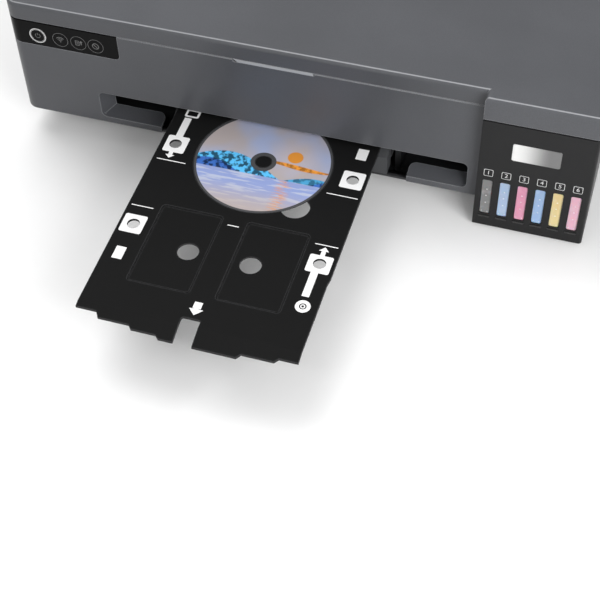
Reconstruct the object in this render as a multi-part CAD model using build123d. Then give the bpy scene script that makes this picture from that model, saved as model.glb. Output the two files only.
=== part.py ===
from build123d import *
import math
import os

# Wide inkjet photo printer with six refillable tanks, shown with its disc tray pushed in at the front.
# Lengths are millimetres. X runs to the viewer's right, Y to the back and Z up. The origin is on the
# table, in the middle of the box around the whole machine and its tray.

os.makedirs("parts", exist_ok=True)

# Casing
BODY_W = 523.0
BODY_D = 379.0
BODY_H = 148.0
TRAY_REACH = 233.9
TANK_W = 96.0
TANK_STEP = 10.3
WALL = 2.5
CORNER_R = 12.0
TANK_CORNER_R = 3.0
CROWN_R = 4.0
SKIRT_Z = 26.5
LID_DEPTH = 17.0
TANK_LID_DEPTH = 22.6
TANK_BOTTOM_Z = 3.0
SEAM = 0.5
FIT = 0.3
RUNNING_FIT = 0.05
FRONT_WRAP = 24.0
TANK_WRAP = 96.0
REAR_WRAP = 14.7
FLANGE_W = 12.0
FLANGE_T = 2.0
SIDE_FLANGE_W = 8.0
SEAM_LEDGE = 0.6
SEAM_LEDGE_H = 0.8

# Base and feet
FLOOR_Z = 4.0
BASE_RIM_Z = 27.5
BASE_SLOPE_Z = 25.0
BASE_INSET = 24.0
FOOT_R = 9.0
FOOT_SINK = 1.0
FOOT_INSET_X = 60.0
FOOT_INSET_Y = 50.0
POST_R = 6.0

# Front opening
OPENING_LEFT = 78.0
OPENING_RIGHT = 9.9
OPENING_TOP_Z = 61.5
OPENING_R = 5.0
LIP_Z = 33.0
LIP_LEFT_GAP = 13.5
LIP_RIGHT_GAP = 17.5
LIP_DEPTH = 16.0
LIP_RISE = 3.0
LIP_END_R = 5.0
SCOOP_W = 8.0

# Control panel and buttons
PANEL_W = 104.0
PANEL_DROP = 43.0
PANEL_T = 1.5
PANEL_R = 4.0
BUTTON_DROP = 32.4
BUTTON_INSETS = [28.5, 49.9, 67.0, 83.2]
BUTTON_NAMES = ["power_button", "network_button", "sheet_button", "cancel_button"]
BUTTON_R = 6.6
BUTTON_FLANGE_R = 7.6
BUTTON_FLANGE_T = 1.0
BUTTON_STEM = 5.0
BUTTON_STEM_R = 2.2

# Lid and hinge
HINGE_FROM_REAR = 128.0
HINGE_PIN_L = 12.0
HINGE_R = 6.0
HINGE_PIN_R = 3.5
HINGE_CHEEK_W = 15.0
HINGE_GAP = 0.6
LID_RIB_H = 5.0
LID_RIB_T = 1.6
LID_RIB_PITCH = 58.0
GRIP_X0 = -51.0
GRIP_X1 = 19.3
GRIP_H = 2.8
GRIP_PROUD = 0.5
GRIP_SLANT = 4.0

# Ink tanks
TANK_COUNT = 6
FIRST_TANK_INSET = 9.5
LAST_TANK_INSET = 11.0
TANK_NAMES = ["grey", "light_cyan", "magenta", "cyan", "yellow", "light_magenta"]
TANK_SPACE = 1.7
TANK_SEAT_Z = 7.6
TANK_BODY_Z0 = 7.9
TANK_BODY_DROP = 36.0
TANK_BODY_BACK = 92.0
WINDOW_W = 9.0
WINDOW_Z0 = 17.0
WINDOW_Z1 = 58.0
WINDOW_R = 2.0
WINDOW_SINK = 0.9
NECK_R = 4.4
NECK_H = 4.0
NECK_BACK = 26.0
CAP_R = 5.8
CAP_H = 3.0
CAP_HINGE_BACK = 38.0
CAP_PIN_R = 1.2
CAP_ARM_W = 5.0

# Disc tray
TRAY_X0 = -108.5
TRAY_X1 = 78.0
TRAY_TOP_Z = 58.2
TRAY_T = 2.2
TRAY_LENGTH = 303.0
TRAY_LIP = 17.0
TRAY_LIP_DROP = 4.0
DISC_X = -14.2
DISC_AHEAD = 30.6
DISC_R = 60.0
DISC_HOLE_R = 7.5
DISC_T = 1.2
POCKET_W = 54.0
POCKET_L = 86.0
POCKET_R = 3.0
POCKET_DEPTH = 0.8
POCKET_AHEAD = 143.7
POCKET_XS = [-52.9, 22.3]
EJECT_HOLE_R = 9.0
EJECT_HOLES = [(-42.0, 144.5), (11.6, 144.7)]
FINGER_HOLE_R = 12.5
FINGER_HOLE = (27.6, 74.4)
SENSOR_HOLE_R = 5.3
SENSOR_HOLES = [(-95.9, 128.3), (-95.0, 30.1), (65.4, 31.1), (64.8, 128.6)]
GROOVE_W = 1.4
GROOVE_DEPTH = 1.4
LEFT_STEPS = [(0.0, 11.8), (20.5, 6.7), (49.5, 3.4), (73.1, 0.6)]
RIGHT_STEPS = [(101.0, 0.0), (137.3, 3.6), (166.9, 6.9)]
STEP_SLANT = 3.0
TRAY_NOTCH_X0 = -23.3
TRAY_NOTCH_DEPTH = 23.8
SIDE_STEP = 1.0
SIDE_STEP_AHEAD = 147.5
SIDE_STEP_L = 6.0

# Output tray, stored under the disc tray
STACK_X0 = -112.5
STACK_X1 = 85.0
STACK_Z0 = 30.0
STAGE_T = 2.6
STAGE_GAP = 0.5
STAGE_BACK = 178.0
STAGE_STEP = 12.0
BLOCK_DEPTH = 13.0
BLOCK_FACE_Z = 49.4
RAIL_W = 5.5
RAIL_T = 1.8
RAIL_FRONT = 40.0

# Paper path and mechanism, as depths behind the tank face
PATH_X = -14.0
PLATEN_Z = 55.6
PLATEN_FRONT = 111.0
PLATEN_REAR = 175.0
PLATEN_X1_GAP = 5.0
PLATEN_BASE_Z = 45.0
RIB_PITCH = 14.0
RIB_W = 2.0
FEED_BACK = 187.0
FEED_R = 7.5
EXIT_BACK = 100.0
EXIT_R = 7.0
ROLLER_HALF_W = 176.0
ROLLER_AXLE_R = 4.0
EXIT_ROLLER_COUNT = 8
EXIT_HALF_SPAN = 150.0
EXIT_ROLLER_W = 12.0
EXIT_AXLE_R = 3.0
PINCH_R = 4.0
PINCH_AXLE_R = 1.5
PINCH_COUNT = 6
PINCH_HALF_SPAN = 140.0
PINCH_W = 28.0
STAR_R = 5.0
STAR_T = 1.2
STAR_BAR_RISE = 7.8
STAR_BAR_T = 4.0
GEAR_MODULE = 1.25
GEAR_W = 5.0
FEED_TEETH = 28
EXIT_TEETH = 26
IDLER_TEETH = 44
PINION_TEETH = 16
PINION_ANGLE = 10.0
GEAR_BACKLASH = 0.16
GEAR_GAP = 6.0
IDLER_PIN_R = 3.0
FRAME_INSET = 13.5
FRAME_T = 1.5
FRAME_FRONT = 94.0
FRAME_REAR = 232.0
FRAME_Z0 = 29.0
FRAME_Z1 = 118.0
BEAM_BACK = 221.5
BEAM_Z0 = 68.0
BEAM_Z1 = 120.4
BEAM_FLANGE = 9.0

# Carriage
CARRIAGE_W = 76.0
PARKED_INSET = 50.0
CARRIAGE_FRONT = 116.0
CARRIAGE_REAR = 203.0
CARRIAGE_Z0 = 72.0
CARRIAGE_Z1 = 112.0
HEAD_Z0 = 59.8
HEAD_FRONT = 128.0
HEAD_REAR = 170.0
HEAD_W = 50.0
SHAFT_BACK = 207.0
SHAFT_Z = 84.0
SHAFT_R = 4.5
BELT_BACK = 210.5
BELT_Z = 102.0
BELT_W = 6.0
BELT_T = 1.2
PULLEY_R = 6.0
PULLEY_INSET = 12.0

# Parking station at the right of the paper path
STATION_W = 85.0
STATION_FRONT = 114.0
STATION_REAR = 178.0
STATION_Z0 = 31.0
STATION_Z1 = 49.0
STATION_CAP_INSET = 3.0
PUMP_R = 12.0
PUMP_Z0 = 20.0
WIPER_GAP = 8.0
WIPER_T = 1.5

# Rear sheet feeder: a plane that slopes up and back
FEEDER_FROM_REAR = 95.0
FEEDER_Z = 66.0
FEEDER_SLOPE = 58.0
FEEDER_HALF_W = 178.0
HOPPER_S0 = 6.0
HOPPER_DROP = 9.07
HOPPER_T = 3.0
SUPPORT_HALF_W = 140.0
SUPPORT_RISE = 5.0
SUPPORT_GAP = 0.6
SUPPORT_T = 3.0
EXTENSION_HALF_W = 120.0
PICKUP_R = 16.0
PICKUP_S = 20.0
PICKUP_W = 60.0
GUIDE_FENCE_T = 3.0
GUIDE_FENCE_H = 14.0
GUIDE_HALF_PAPER = 164.5
GUIDE_FROM_TOP = 48.0
GUIDE_L = 38.0
FEEDER_PLATE_T = 2.0
FEEDER_SIDE_FRONT = 12.0
FEEDER_SIDE_TOP = 62.0
FEEDER_SIDE_Z0 = 61.0
FEEDER_HEEL = 18.0
FEEDER_CREST = 16.0
FEEDER_CREST_DROP = 9.0
FEEDER_CREST_H = 7.0
FEEDER_BROW_DROP = 38.0
FEEDER_LEG_FRONT = 8.0
FEEDER_LEG_REAR = 12.0
FEEDER_FOOT_W = 14.0
WINDOW_HALF_W = 28.0
WINDOW_S0 = 34.0
WINDOW_S1 = 58.0
GUARD_FROM_REAR = 111.0
GUARD_L = 66.0
GUARD_HALF_W = 176.0
SLOT_FROM_REAR = 29.0
GUARD_NOTCH_R = 18.0
GUARD_NOTCH_OUT = 12.0
GUARD_BARREL_R = 4.5
GUARD_PIN_R = 2.0

# Ink tube ribbon
RIBBON_T = 2.6
RIBBON_Z0 = 97.0
RIBBON_Z1 = 114.6
RIBBON_NEAR = 44.0
RIBBON_FAR = 107.8
RIBBON_BEND_X = -20.0
CONNECTOR_OFFSET = 20.0

# Electrics
INLET_INSET = 55.5
INLET_Z = 46.0
INLET_W = 22.0
INLET_H = 12.0
USB_INSET = 111.5
USB_Z = 62.0
USB_W = 12.0
USB_H = 11.0
SUPPLY_INSET = 21.5
SUPPLY_W = 118.0
SUPPLY_FROM_REAR = 77.0
SUPPLY_L = 50.0
SUPPLY_Z0 = 13.0
SUPPLY_Z1 = 52.0
BOARD_INSET = 51.5
BOARD_W = 180.0
BOARD_BACK = 11.5
BOARD_T = 1.6
BOARD_Z0 = 34.0
BOARD_DROP = 38.0
BOARD_CHIPS = [(140, 80, 22, 22, 2.0), (100, 60, 14, 18, 1.6), (60, 88, 26, 8, 6.0), (20, 70, 8, 40, 6.0)]

# Back wall
VENT_COUNT = 9
VENT_INSET = 111.5
VENT_PITCH = 9.0
VENT_W = 3.0
VENT_Z0 = 40.0
VENT_Z1 = 66.0
SCREW_INSET = 25.5
SCREW_MIDDLE_X = 40.0
SCREW_DROP = 36.0
SCREW_HEAD_R = 3.2
SCREW_HEAD_T = 1.0
SCREW_R = 1.5
SCREW_LENGTH = 10.0
SCREW_SINK = 0.3

# Places worked out from the sizes above
HALF_W = BODY_W / 2
TANK_Y = (TRAY_REACH - BODY_D) / 2
MAIN_Y = TANK_Y + TANK_STEP
REAR_Y = TANK_Y + BODY_D
TANK_X = HALF_W - TANK_W
HINGE_Y = REAR_Y - HINGE_FROM_REAR
HINGE_Z = BODY_H - HINGE_R
INNER_TOP_Z = BODY_H - WALL
TRAY_BOTTOM_Z = TRAY_TOP_Z - TRAY_T
LID_SEAM_Z = BODY_H - LID_DEPTH
TANK_SEAM_Z = BODY_H - TANK_LID_DEPTH
OPENING_X0 = -HALF_W + OPENING_LEFT
OPENING_X1 = TANK_X - OPENING_RIGHT
LIP_LEFT_END = STACK_X0 - LIP_LEFT_GAP
LIP_RIGHT_END = STACK_X1 + LIP_RIGHT_GAP
PANEL_X1 = -HALF_W + PANEL_W
PANEL_Z0 = BODY_H - PANEL_DROP
BUTTON_Z = BODY_H - BUTTON_DROP
BUTTON_XS = [inset - HALF_W for inset in BUTTON_INSETS]
FIRST_TANK_X = TANK_X + FIRST_TANK_INSET
TANK_PITCH = (TANK_W - FIRST_TANK_INSET - LAST_TANK_INSET) / (TANK_COUNT - 1)
TANK_BODY_W = TANK_PITCH - TANK_SPACE
TANK_BODY_Z1 = BODY_H - TANK_BODY_DROP
FRAME_X = HALF_W - FRAME_INSET
GEAR_X = -FRAME_X - GEAR_GAP
PULLEY_X = FRAME_X - PULLEY_INSET
CARRIAGE_X = FRAME_X - PARKED_INSET
STATION_X0 = FRAME_X - STATION_W
FEEDER_BACK = BODY_D - FEEDER_FROM_REAR
GUARD_AXIS_BACK = BODY_D - GUARD_FROM_REAR
GUARD_REAR = GUARD_AXIS_BACK + GUARD_L
SLOT_REAR = BODY_D - SLOT_FROM_REAR
HOPPER_S1 = (BODY_H - HOPPER_DROP - FEEDER_Z) / math.sin(math.radians(FEEDER_SLOPE))
SUPPORT_S1 = HOPPER_S1 + SUPPORT_RISE
GUIDE_S0 = HOPPER_S1 - GUIDE_FROM_TOP
GUIDE_S1 = GUIDE_S0 + GUIDE_L
INLET_X = INLET_INSET - HALF_W
USB_X = HALF_W - USB_INSET
SUPPLY_X = SUPPLY_INSET - HALF_W
SUPPLY_Y = REAR_Y - SUPPLY_FROM_REAR
VENT_X = VENT_INSET - HALF_W
SCREW_XS = [SCREW_INSET - HALF_W, -SCREW_MIDDLE_X, SCREW_MIDDLE_X, HALF_W - SCREW_INSET]
SCREW_Z = BODY_H - SCREW_DROP
FAR = 1000.0


def back(depth):
    """Y of a place this far behind the tank face."""
    return TANK_Y + depth


def ahead(depth):
    """Y of a place this far in front of the tank face."""
    return TANK_Y - depth


def block(x0, x1, y0, y1, z0, z1):
    """Box between two opposite corners."""
    return Pos((x0 + x1) / 2, (y0 + y1) / 2, (z0 + z1) / 2) * Box(x1 - x0, y1 - y0, z1 - z0)


def rod_x(radius, x0, x1, y, z):
    """Round bar along X."""
    return Pos((x0 + x1) / 2, y, z) * Rot(0, 90, 0) * Cylinder(radius, x1 - x0)


def rod_y(radius, x, y0, y1, z):
    """Round bar along Y."""
    return Pos(x, (y0 + y1) / 2, z) * Rot(90, 0, 0) * Cylinder(radius, y1 - y0)


def rod_z(radius, x, y, z0, z1):
    """Round bar along Z."""
    return Pos(x, y, (z0 + z1) / 2) * Cylinder(radius, z1 - z0)


def profile_yz(points, x0, x1):
    """Prism along X from an outline given as Y and Z pairs."""
    outline = make_face(Polyline(*points, close=True))
    return extrude(Plane(origin=(x0, 0, 0), x_dir=(0, 1, 0), z_dir=(1, 0, 0)) * outline, x1 - x0)


def plate_xy(outline, z0, z1):
    """Flat plate of an outline drawn in X and Y."""
    return extrude(Pos(0, 0, z0) * outline, z1 - z0)


def plate_xz(outline, y0, y1):
    """Upright plate of an outline drawn in X and Z."""
    return extrude(Plane(origin=(0, y1, 0), x_dir=(1, 0, 0), z_dir=(0, -1, 0)) * outline, y1 - y0)


def round_rect(x0, x1, y0, y1, radius):
    """Rectangle with rounded corners between two opposite corners."""
    return Pos((x0 + x1) / 2, (y0 + y1) / 2) * RectangleRounded(x1 - x0, y1 - y0, radius)


def tank_x(index):
    """Middle of a tank along X."""
    return FIRST_TANK_X + index * TANK_PITCH


def spread(count, half_span):
    """Places evenly spread across the paper path."""
    return [PATH_X + half_span * (2 * index / (count - 1) - 1) for index in range(count)]


def save(node, shape):
    """Write one node. A list holds the separate solids of one group."""
    if isinstance(shape, list):
        shape = Compound(children=shape)
    export_step(shape, f"parts/{node}.step")


def footprint(inset):
    """Outline of the casing seen from above, moved inwards by the inset."""
    points = [(-HALF_W, MAIN_Y), (TANK_X, MAIN_Y), (TANK_X, TANK_Y)]
    points += [(HALF_W, TANK_Y), (HALF_W, REAR_Y), (-HALF_W, REAR_Y)]
    outline = make_face(Polyline(*points, close=True))
    corners = [(-HALF_W, MAIN_Y, CORNER_R), (HALF_W, TANK_Y, TANK_CORNER_R)]
    corners += [(HALF_W, REAR_Y, CORNER_R), (-HALF_W, REAR_Y, CORNER_R)]
    for x, y, radius in corners:
        outline = fillet(outline.vertices().sort_by_distance((x, y, 0))[0], radius)
    if inset > 0:
        outline = offset(outline, -inset, kind=Kind.INTERSECTION)
    return outline


def casing_wall(z0, z1, outer=0.0, inner=WALL):
    """Upright wall that follows the casing's outline, between two insets."""
    return plate_xy(footprint(outer), z0, z1) - plate_xy(footprint(inner), z0, z1)


def seam_ledge(top):
    """Narrow ledge all round just under a seam, cut into the outside of the wall."""
    return casing_wall(top - SEAM_LEDGE_H, top + 1, 0, SEAM_LEDGE)


def bowl(inset):
    """Solid of the pan, whose sides slope in to a smaller flat bottom, moved inwards by the inset."""
    width = BODY_W - 2 * (WALL + FIT + inset)
    depth = REAR_Y - MAIN_Y - 2 * (WALL + FIT + inset)
    radius = CORNER_R - WALL - FIT - inset
    middle_y = (MAIN_Y + REAR_Y) / 2
    rim = Pos(0, middle_y, BASE_SLOPE_Z) * RectangleRounded(width, depth, radius)
    flat = RectangleRounded(width - 2 * BASE_INSET, depth - 2 * BASE_INSET, radius)
    slope = loft([rim, Pos(0, middle_y, FLOOR_Z + inset) * flat], ruled=True)
    return slope + extrude(rim, BASE_RIM_Z - BASE_SLOPE_Z)


def stage_bottom(index):
    """Height of an output stage's underside, counted from the front stage at the bottom."""
    return STACK_Z0 + index * (STAGE_T + STAGE_GAP)


def make_base_case():
    """Bottom pan with posts for the metal frame and two slotted rails for the output tray."""
    pan = bowl(0) - bowl(WALL)
    pan -= block(TANK_X - SEAM, HALF_W, -FAR, back(TANK_WRAP) + FIT, TANK_SEAT_Z, BODY_H)
    inside = FLOOR_Z + WALL - SEAM
    for x in (-FRAME_X + FLANGE_W / 2, FRAME_X - FLANGE_W / 2):
        for depth in (FRAME_FRONT + POST_R, FRAME_REAR - POST_R):
            post = rod_z(POST_R, x, back(depth), inside, BASE_RIM_Z) & bowl(0)
            pan += post + rod_z(POST_R, x, back(depth), BASE_RIM_Z - 1, FRAME_Z0 - FIT)
    y0 = back(RAIL_FRONT)
    y1 = back(STAGE_BACK)
    stage_z = stage_bottom(2)
    for side, edge in ((-1, STACK_X0), (1, STACK_X1)):
        x0 = min(edge + side * FIT, edge + side * RAIL_W)
        x1 = max(edge + side * FIT, edge + side * RAIL_W)
        pan += block(x0, x1, y0, y1, inside, stage_z + STAGE_T + FIT + RAIL_T)
        shelf_x0 = min(edge - side * STAGE_STEP / 2, x0)
        shelf_x1 = max(edge - side * STAGE_STEP / 2, x1)
        pan += block(shelf_x0, shelf_x1, y0, y1, stage_z - FIT - RAIL_T, stage_z - FIT)
        pan += block(shelf_x0, shelf_x1, y0, y1, stage_z + STAGE_T + FIT, stage_z + STAGE_T + FIT + RAIL_T)
    for x in (-HALF_W + FOOT_INSET_X, HALF_W - FOOT_INSET_X):
        for y in (MAIN_Y + FOOT_INSET_Y, REAR_Y - FOOT_INSET_Y):
            pan -= rod_z(FOOT_R + FIT, x, y, FLOOR_Z, FLOOR_Z + FOOT_SINK)
    return pan


def make_feet():
    """Four round rubber feet in shallow seats under the pan."""
    feet = []
    for x in (-HALF_W + FOOT_INSET_X, HALF_W - FOOT_INSET_X):
        for y in (MAIN_Y + FOOT_INSET_Y, REAR_Y - FOOT_INSET_Y):
            foot = rod_z(FOOT_R, x, y, 0, FLOOR_Z + FOOT_SINK)
            feet.append(chamfer(foot.edges().group_by(Axis.Z)[0], 1.0))
    return feet


def front_lip(x0, x1, free_end):
    """Sloping shelf behind the low edge of the front opening, rounded at its free end."""
    rim = MAIN_Y + WALL / 2
    tip = MAIN_Y + LIP_DEPTH
    outline = [(rim, LIP_Z - WALL), (tip, LIP_Z + LIP_RISE - WALL), (tip, LIP_Z + LIP_RISE), (rim, LIP_Z)]
    shelf = profile_yz(outline, x0, x1)
    corner = shelf.edges().filter_by(Axis.Z).sort_by_distance((free_end, tip, LIP_Z))[0]
    return fillet(corner, LIP_DEPTH * 0.4)


def make_front_cover():
    """Front wall with the paper opening, its two lips and scoops, and the seat of the control panel."""
    wall = casing_wall(SKIRT_Z, LID_SEAM_Z - SEAM)
    wall &= block(-FAR, TANK_X - FIT, MAIN_Y - WALL, MAIN_Y + FRONT_WRAP, 0, BODY_H)
    wall += block(-HALF_W + CORNER_R, TANK_X - FIT, MAIN_Y + WALL, MAIN_Y + WALL + FLANGE_W,
                  LID_SEAM_Z - SEAM - 2 * FLANGE_T, LID_SEAM_Z - SEAM - FLANGE_T)
    opening = Rectangle(OPENING_X1 - OPENING_X0, OPENING_TOP_Z - LIP_Z)
    opening = Pos((OPENING_X0 + OPENING_X1) / 2, (OPENING_TOP_Z + LIP_Z) / 2) * opening
    for x in (OPENING_X0, OPENING_X1):
        for z in (OPENING_TOP_Z, LIP_Z):
            opening = fillet(opening.vertices().sort_by_distance((x, z, 0))[0], OPENING_R)
    middle = Pos((LIP_LEFT_END + LIP_RIGHT_END) / 2, (SKIRT_Z + LIP_Z) / 2)
    middle *= Rectangle(LIP_RIGHT_END - LIP_LEFT_END, LIP_Z - SKIRT_Z + LIP_END_R * 2)
    cut = plate_xz(opening + middle, MAIN_Y - 1, MAIN_Y + WALL + 1)
    wall -= cut
    wall += front_lip(OPENING_X0 - 1, LIP_LEFT_END, LIP_LEFT_END)
    wall += front_lip(LIP_RIGHT_END, OPENING_X1 + 1, LIP_RIGHT_END)
    scoop = [(OPENING_X0 - WALL, MAIN_Y + WALL / 2), (OPENING_X0, MAIN_Y + WALL / 2)]
    scoop += [(OPENING_X0 + SCOOP_W, MAIN_Y + LIP_DEPTH), (OPENING_X0 + SCOOP_W - WALL, MAIN_Y + LIP_DEPTH)]
    wall += plate_xy(make_face(Polyline(*scoop, close=True)), LIP_Z, OPENING_TOP_Z)
    ceiling_y = MAIN_Y + LIP_DEPTH
    wall += block(OPENING_X0 - WALL, OPENING_X1 + WALL, MAIN_Y + WALL, ceiling_y,
                  OPENING_TOP_Z, OPENING_TOP_Z + WALL)
    panel_seat = block(-FAR, PANEL_X1 + FIT, MAIN_Y - 1, MAIN_Y + FRONT_WRAP + 1, PANEL_Z0 - FIT, BODY_H)
    seat_corner = panel_seat.edges().filter_by(Axis.Y).sort_by_distance((PANEL_X1, MAIN_Y, PANEL_Z0))[0]
    panel_seat = fillet(seat_corner, PANEL_R + FIT)
    wall -= casing_wall(PANEL_Z0 - 1, BODY_H, 0, PANEL_T + FIT) & panel_seat
    for x in BUTTON_XS:
        wall -= rod_y(BUTTON_FLANGE_R + FIT, x, MAIN_Y, MAIN_Y + WALL + 1, BUTTON_Z)
    notch_z = LID_SEAM_Z - GRIP_H - FIT
    notch = block(GRIP_X0 - FIT, GRIP_X1 + FIT, MAIN_Y - 1, MAIN_Y + WALL + 1, notch_z, BODY_H)
    return wall - notch - seam_ledge(LID_SEAM_Z - SEAM)


def make_control_panel():
    """Gloss panel round the left corner, with a round hole for each button."""
    panel = casing_wall(PANEL_Z0, LID_SEAM_Z - SEAM, 0, PANEL_T)
    panel &= block(-FAR, PANEL_X1, MAIN_Y - 1, MAIN_Y + FRONT_WRAP - FIT, 0, BODY_H)
    corner = panel.edges().filter_by(Axis.Y).sort_by_distance((PANEL_X1, MAIN_Y, PANEL_Z0))[0]
    panel = fillet(corner, PANEL_R)
    for x in BUTTON_XS:
        panel -= rod_y(BUTTON_R + FIT, x, MAIN_Y - 1, MAIN_Y + WALL + 1, BUTTON_Z)
    return panel - seam_ledge(LID_SEAM_Z - SEAM)


def make_button(x):
    """Round key cap with a retaining flange and a stem behind the panel."""
    cap = rod_y(BUTTON_R, x, MAIN_Y, MAIN_Y + PANEL_T + FIT, BUTTON_Z)
    cap = fillet(cap.edges().group_by(Axis.Y)[0], 0.4)
    flange_y = MAIN_Y + PANEL_T + FIT
    cap += rod_y(BUTTON_FLANGE_R, x, flange_y, flange_y + BUTTON_FLANGE_T, BUTTON_Z)
    return cap + rod_y(BUTTON_STEM_R, x, flange_y, flange_y + BUTTON_STEM, BUTTON_Z)


def make_left_cover():
    """Left side wall with a stiffening flange along its top."""
    z1 = LID_SEAM_Z - SEAM
    y0 = MAIN_Y + FRONT_WRAP + FIT
    y1 = REAR_Y - REAR_WRAP - FIT
    wall = block(-HALF_W, -HALF_W + WALL, y0, y1, SKIRT_Z, z1)
    wall -= seam_ledge(z1)
    inner_x = -HALF_W + WALL
    return wall + block(inner_x, inner_x + SIDE_FLANGE_W, y0, y1, z1 - 2 * FLANGE_T, z1 - FLANGE_T)


def make_right_cover():
    """Right side wall, whose top meets the deeper part of the lid."""
    z1 = TANK_SEAM_Z - SEAM
    y0 = TANK_Y + TANK_WRAP + FIT
    y1 = REAR_Y - REAR_WRAP - FIT
    flange_y = back(TANK_BODY_BACK + 6)
    wall = block(HALF_W - WALL, HALF_W, y0, y1, SKIRT_Z, z1)
    wall -= seam_ledge(z1)
    inner_x = HALF_W - WALL
    return wall + block(inner_x - SIDE_FLANGE_W, inner_x, flange_y, y1, z1 - 2 * FLANGE_T, z1 - FLANGE_T)


def make_rear_cover():
    """Back wall with the holes for the mains inlet and the data port, and a row of air slots."""
    wall = casing_wall(SKIRT_Z, TANK_SEAM_Z - SEAM)
    wall &= block(-FAR, FAR, REAR_Y - REAR_WRAP, FAR, 0, BODY_H)
    hole_y0 = REAR_Y - WALL - 1
    wall -= block(INLET_X - INLET_W / 2 - FIT, INLET_X + INLET_W / 2 + FIT, hole_y0, FAR,
                  INLET_Z - INLET_H / 2 - FIT, INLET_Z + INLET_H / 2 + FIT)
    wall -= block(USB_X - USB_W / 2 - FIT, USB_X + USB_W / 2 + FIT, hole_y0, FAR,
                  USB_Z - USB_H / 2 - FIT, USB_Z + USB_H / 2 + FIT)
    for index in range(VENT_COUNT):
        x = VENT_X + index * VENT_PITCH
        wall -= block(x, x + VENT_W, hole_y0, FAR, VENT_Z0, VENT_Z1)
    for x in SCREW_XS:
        wall -= rod_y(SCREW_HEAD_R + FIT, x, REAR_Y - SCREW_SINK - SCREW_HEAD_T, FAR, SCREW_Z)
        wall -= rod_y(SCREW_R + FIT, x, hole_y0, FAR, SCREW_Z)
    return wall


def make_tank_cover():
    """Black front of the tanks, which stands forward of the casing, with a tall window for each tank."""
    wall = casing_wall(TANK_BOTTOM_Z, TANK_SEAM_Z - SEAM)
    wall &= block(TANK_X, FAR, TANK_Y - 1, TANK_Y + TANK_WRAP, 0, BODY_H)
    wall += plate_xy(footprint(WALL / 2), TANK_BOTTOM_Z, TANK_BOTTOM_Z + WALL) & block(
        TANK_X + WALL / 2, HALF_W - WALL / 2, TANK_Y + WALL / 2, TANK_Y + TANK_STEP + WALL, 0, SKIRT_Z)
    for index in range(TANK_COUNT):
        x = tank_x(index)
        window = round_rect(x - WINDOW_W / 2, x + WINDOW_W / 2, WINDOW_Z0, WINDOW_Z1, WINDOW_R)
        wall -= plate_xz(window, TANK_Y - 1, TANK_Y + WALL + 1)
    return wall - seam_ledge(TANK_SEAM_Z - SEAM)


def make_ink_tank(index):
    """Clear tank with a sight window that fills its hole in the cover, a filler neck and a hinge ear."""
    x = tank_x(index)
    half = TANK_BODY_W / 2
    front = TANK_Y + WALL + FIT
    tank = block(x - half, x + half, front, back(TANK_BODY_BACK), TANK_BODY_Z0, TANK_BODY_Z1)
    tank = fillet(tank.edges().filter_by(Axis.Z), 1.5)
    window = round_rect(x - WINDOW_W / 2 + FIT, x + WINDOW_W / 2 - FIT, WINDOW_Z0 + FIT, WINDOW_Z1 - FIT,
                        WINDOW_R - FIT)
    tank += plate_xz(window, TANK_Y + WINDOW_SINK, front + 0.5)
    tank += rod_z(NECK_R, x, back(NECK_BACK), TANK_BODY_Z1 - 0.5, TANK_BODY_Z1 + NECK_H)
    axis_z = TANK_BODY_Z1 + CAP_PIN_R + 1.5
    for side in (-1, 1):
        ear_x = x + side * (CAP_ARM_W / 2 + FIT + 0.8)
        ear = block(ear_x - 0.8, ear_x + 0.8, back(CAP_HINGE_BACK - 2.2), back(CAP_HINGE_BACK + 2.2),
                    TANK_BODY_Z1 - 0.5, axis_z + 2.2)
        tank += ear
    return tank - rod_x(CAP_PIN_R + RUNNING_FIT, x - half, x + half, back(CAP_HINGE_BACK), axis_z)


def make_filler_cap(index):
    """Rubber cap on an arm with its hinge pin."""
    x = tank_x(index)
    axis_z = TANK_BODY_Z1 + CAP_PIN_R + 1.5
    seat = TANK_BODY_Z1 + NECK_H + FIT
    cap = rod_z(CAP_R, x, back(NECK_BACK), seat, seat + CAP_H)
    cap = fillet(cap.edges().group_by(Axis.Z)[-1], 0.8)
    half = CAP_ARM_W / 2
    cap += block(x - half, x + half, back(NECK_BACK + 3), back(CAP_HINGE_BACK), seat, seat + 2.0)
    knuckle_y = back(CAP_HINGE_BACK)
    cap += block(x - half, x + half, knuckle_y - 1.8, knuckle_y + 1.8, axis_z - 1.8, seat + 2.0)
    return cap + rod_x(CAP_PIN_R, x - half - FIT - 1.6, x + half + FIT + 1.6, knuckle_y, axis_z)


def crown():
    """Shell of the whole top of the casing with rounded outer edges, open below."""
    outer = plate_xy(footprint(0), TANK_SEAM_Z, BODY_H)
    outer = fillet(outer.faces().sort_by(Axis.Z)[-1].edges(), CROWN_R)
    inner = plate_xy(footprint(WALL), TANK_SEAM_Z, INNER_TOP_Z)
    shell = outer - inner
    return shell - block(-FAR, TANK_X - FIT, -FAR, FAR, 0, LID_SEAM_Z)


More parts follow.
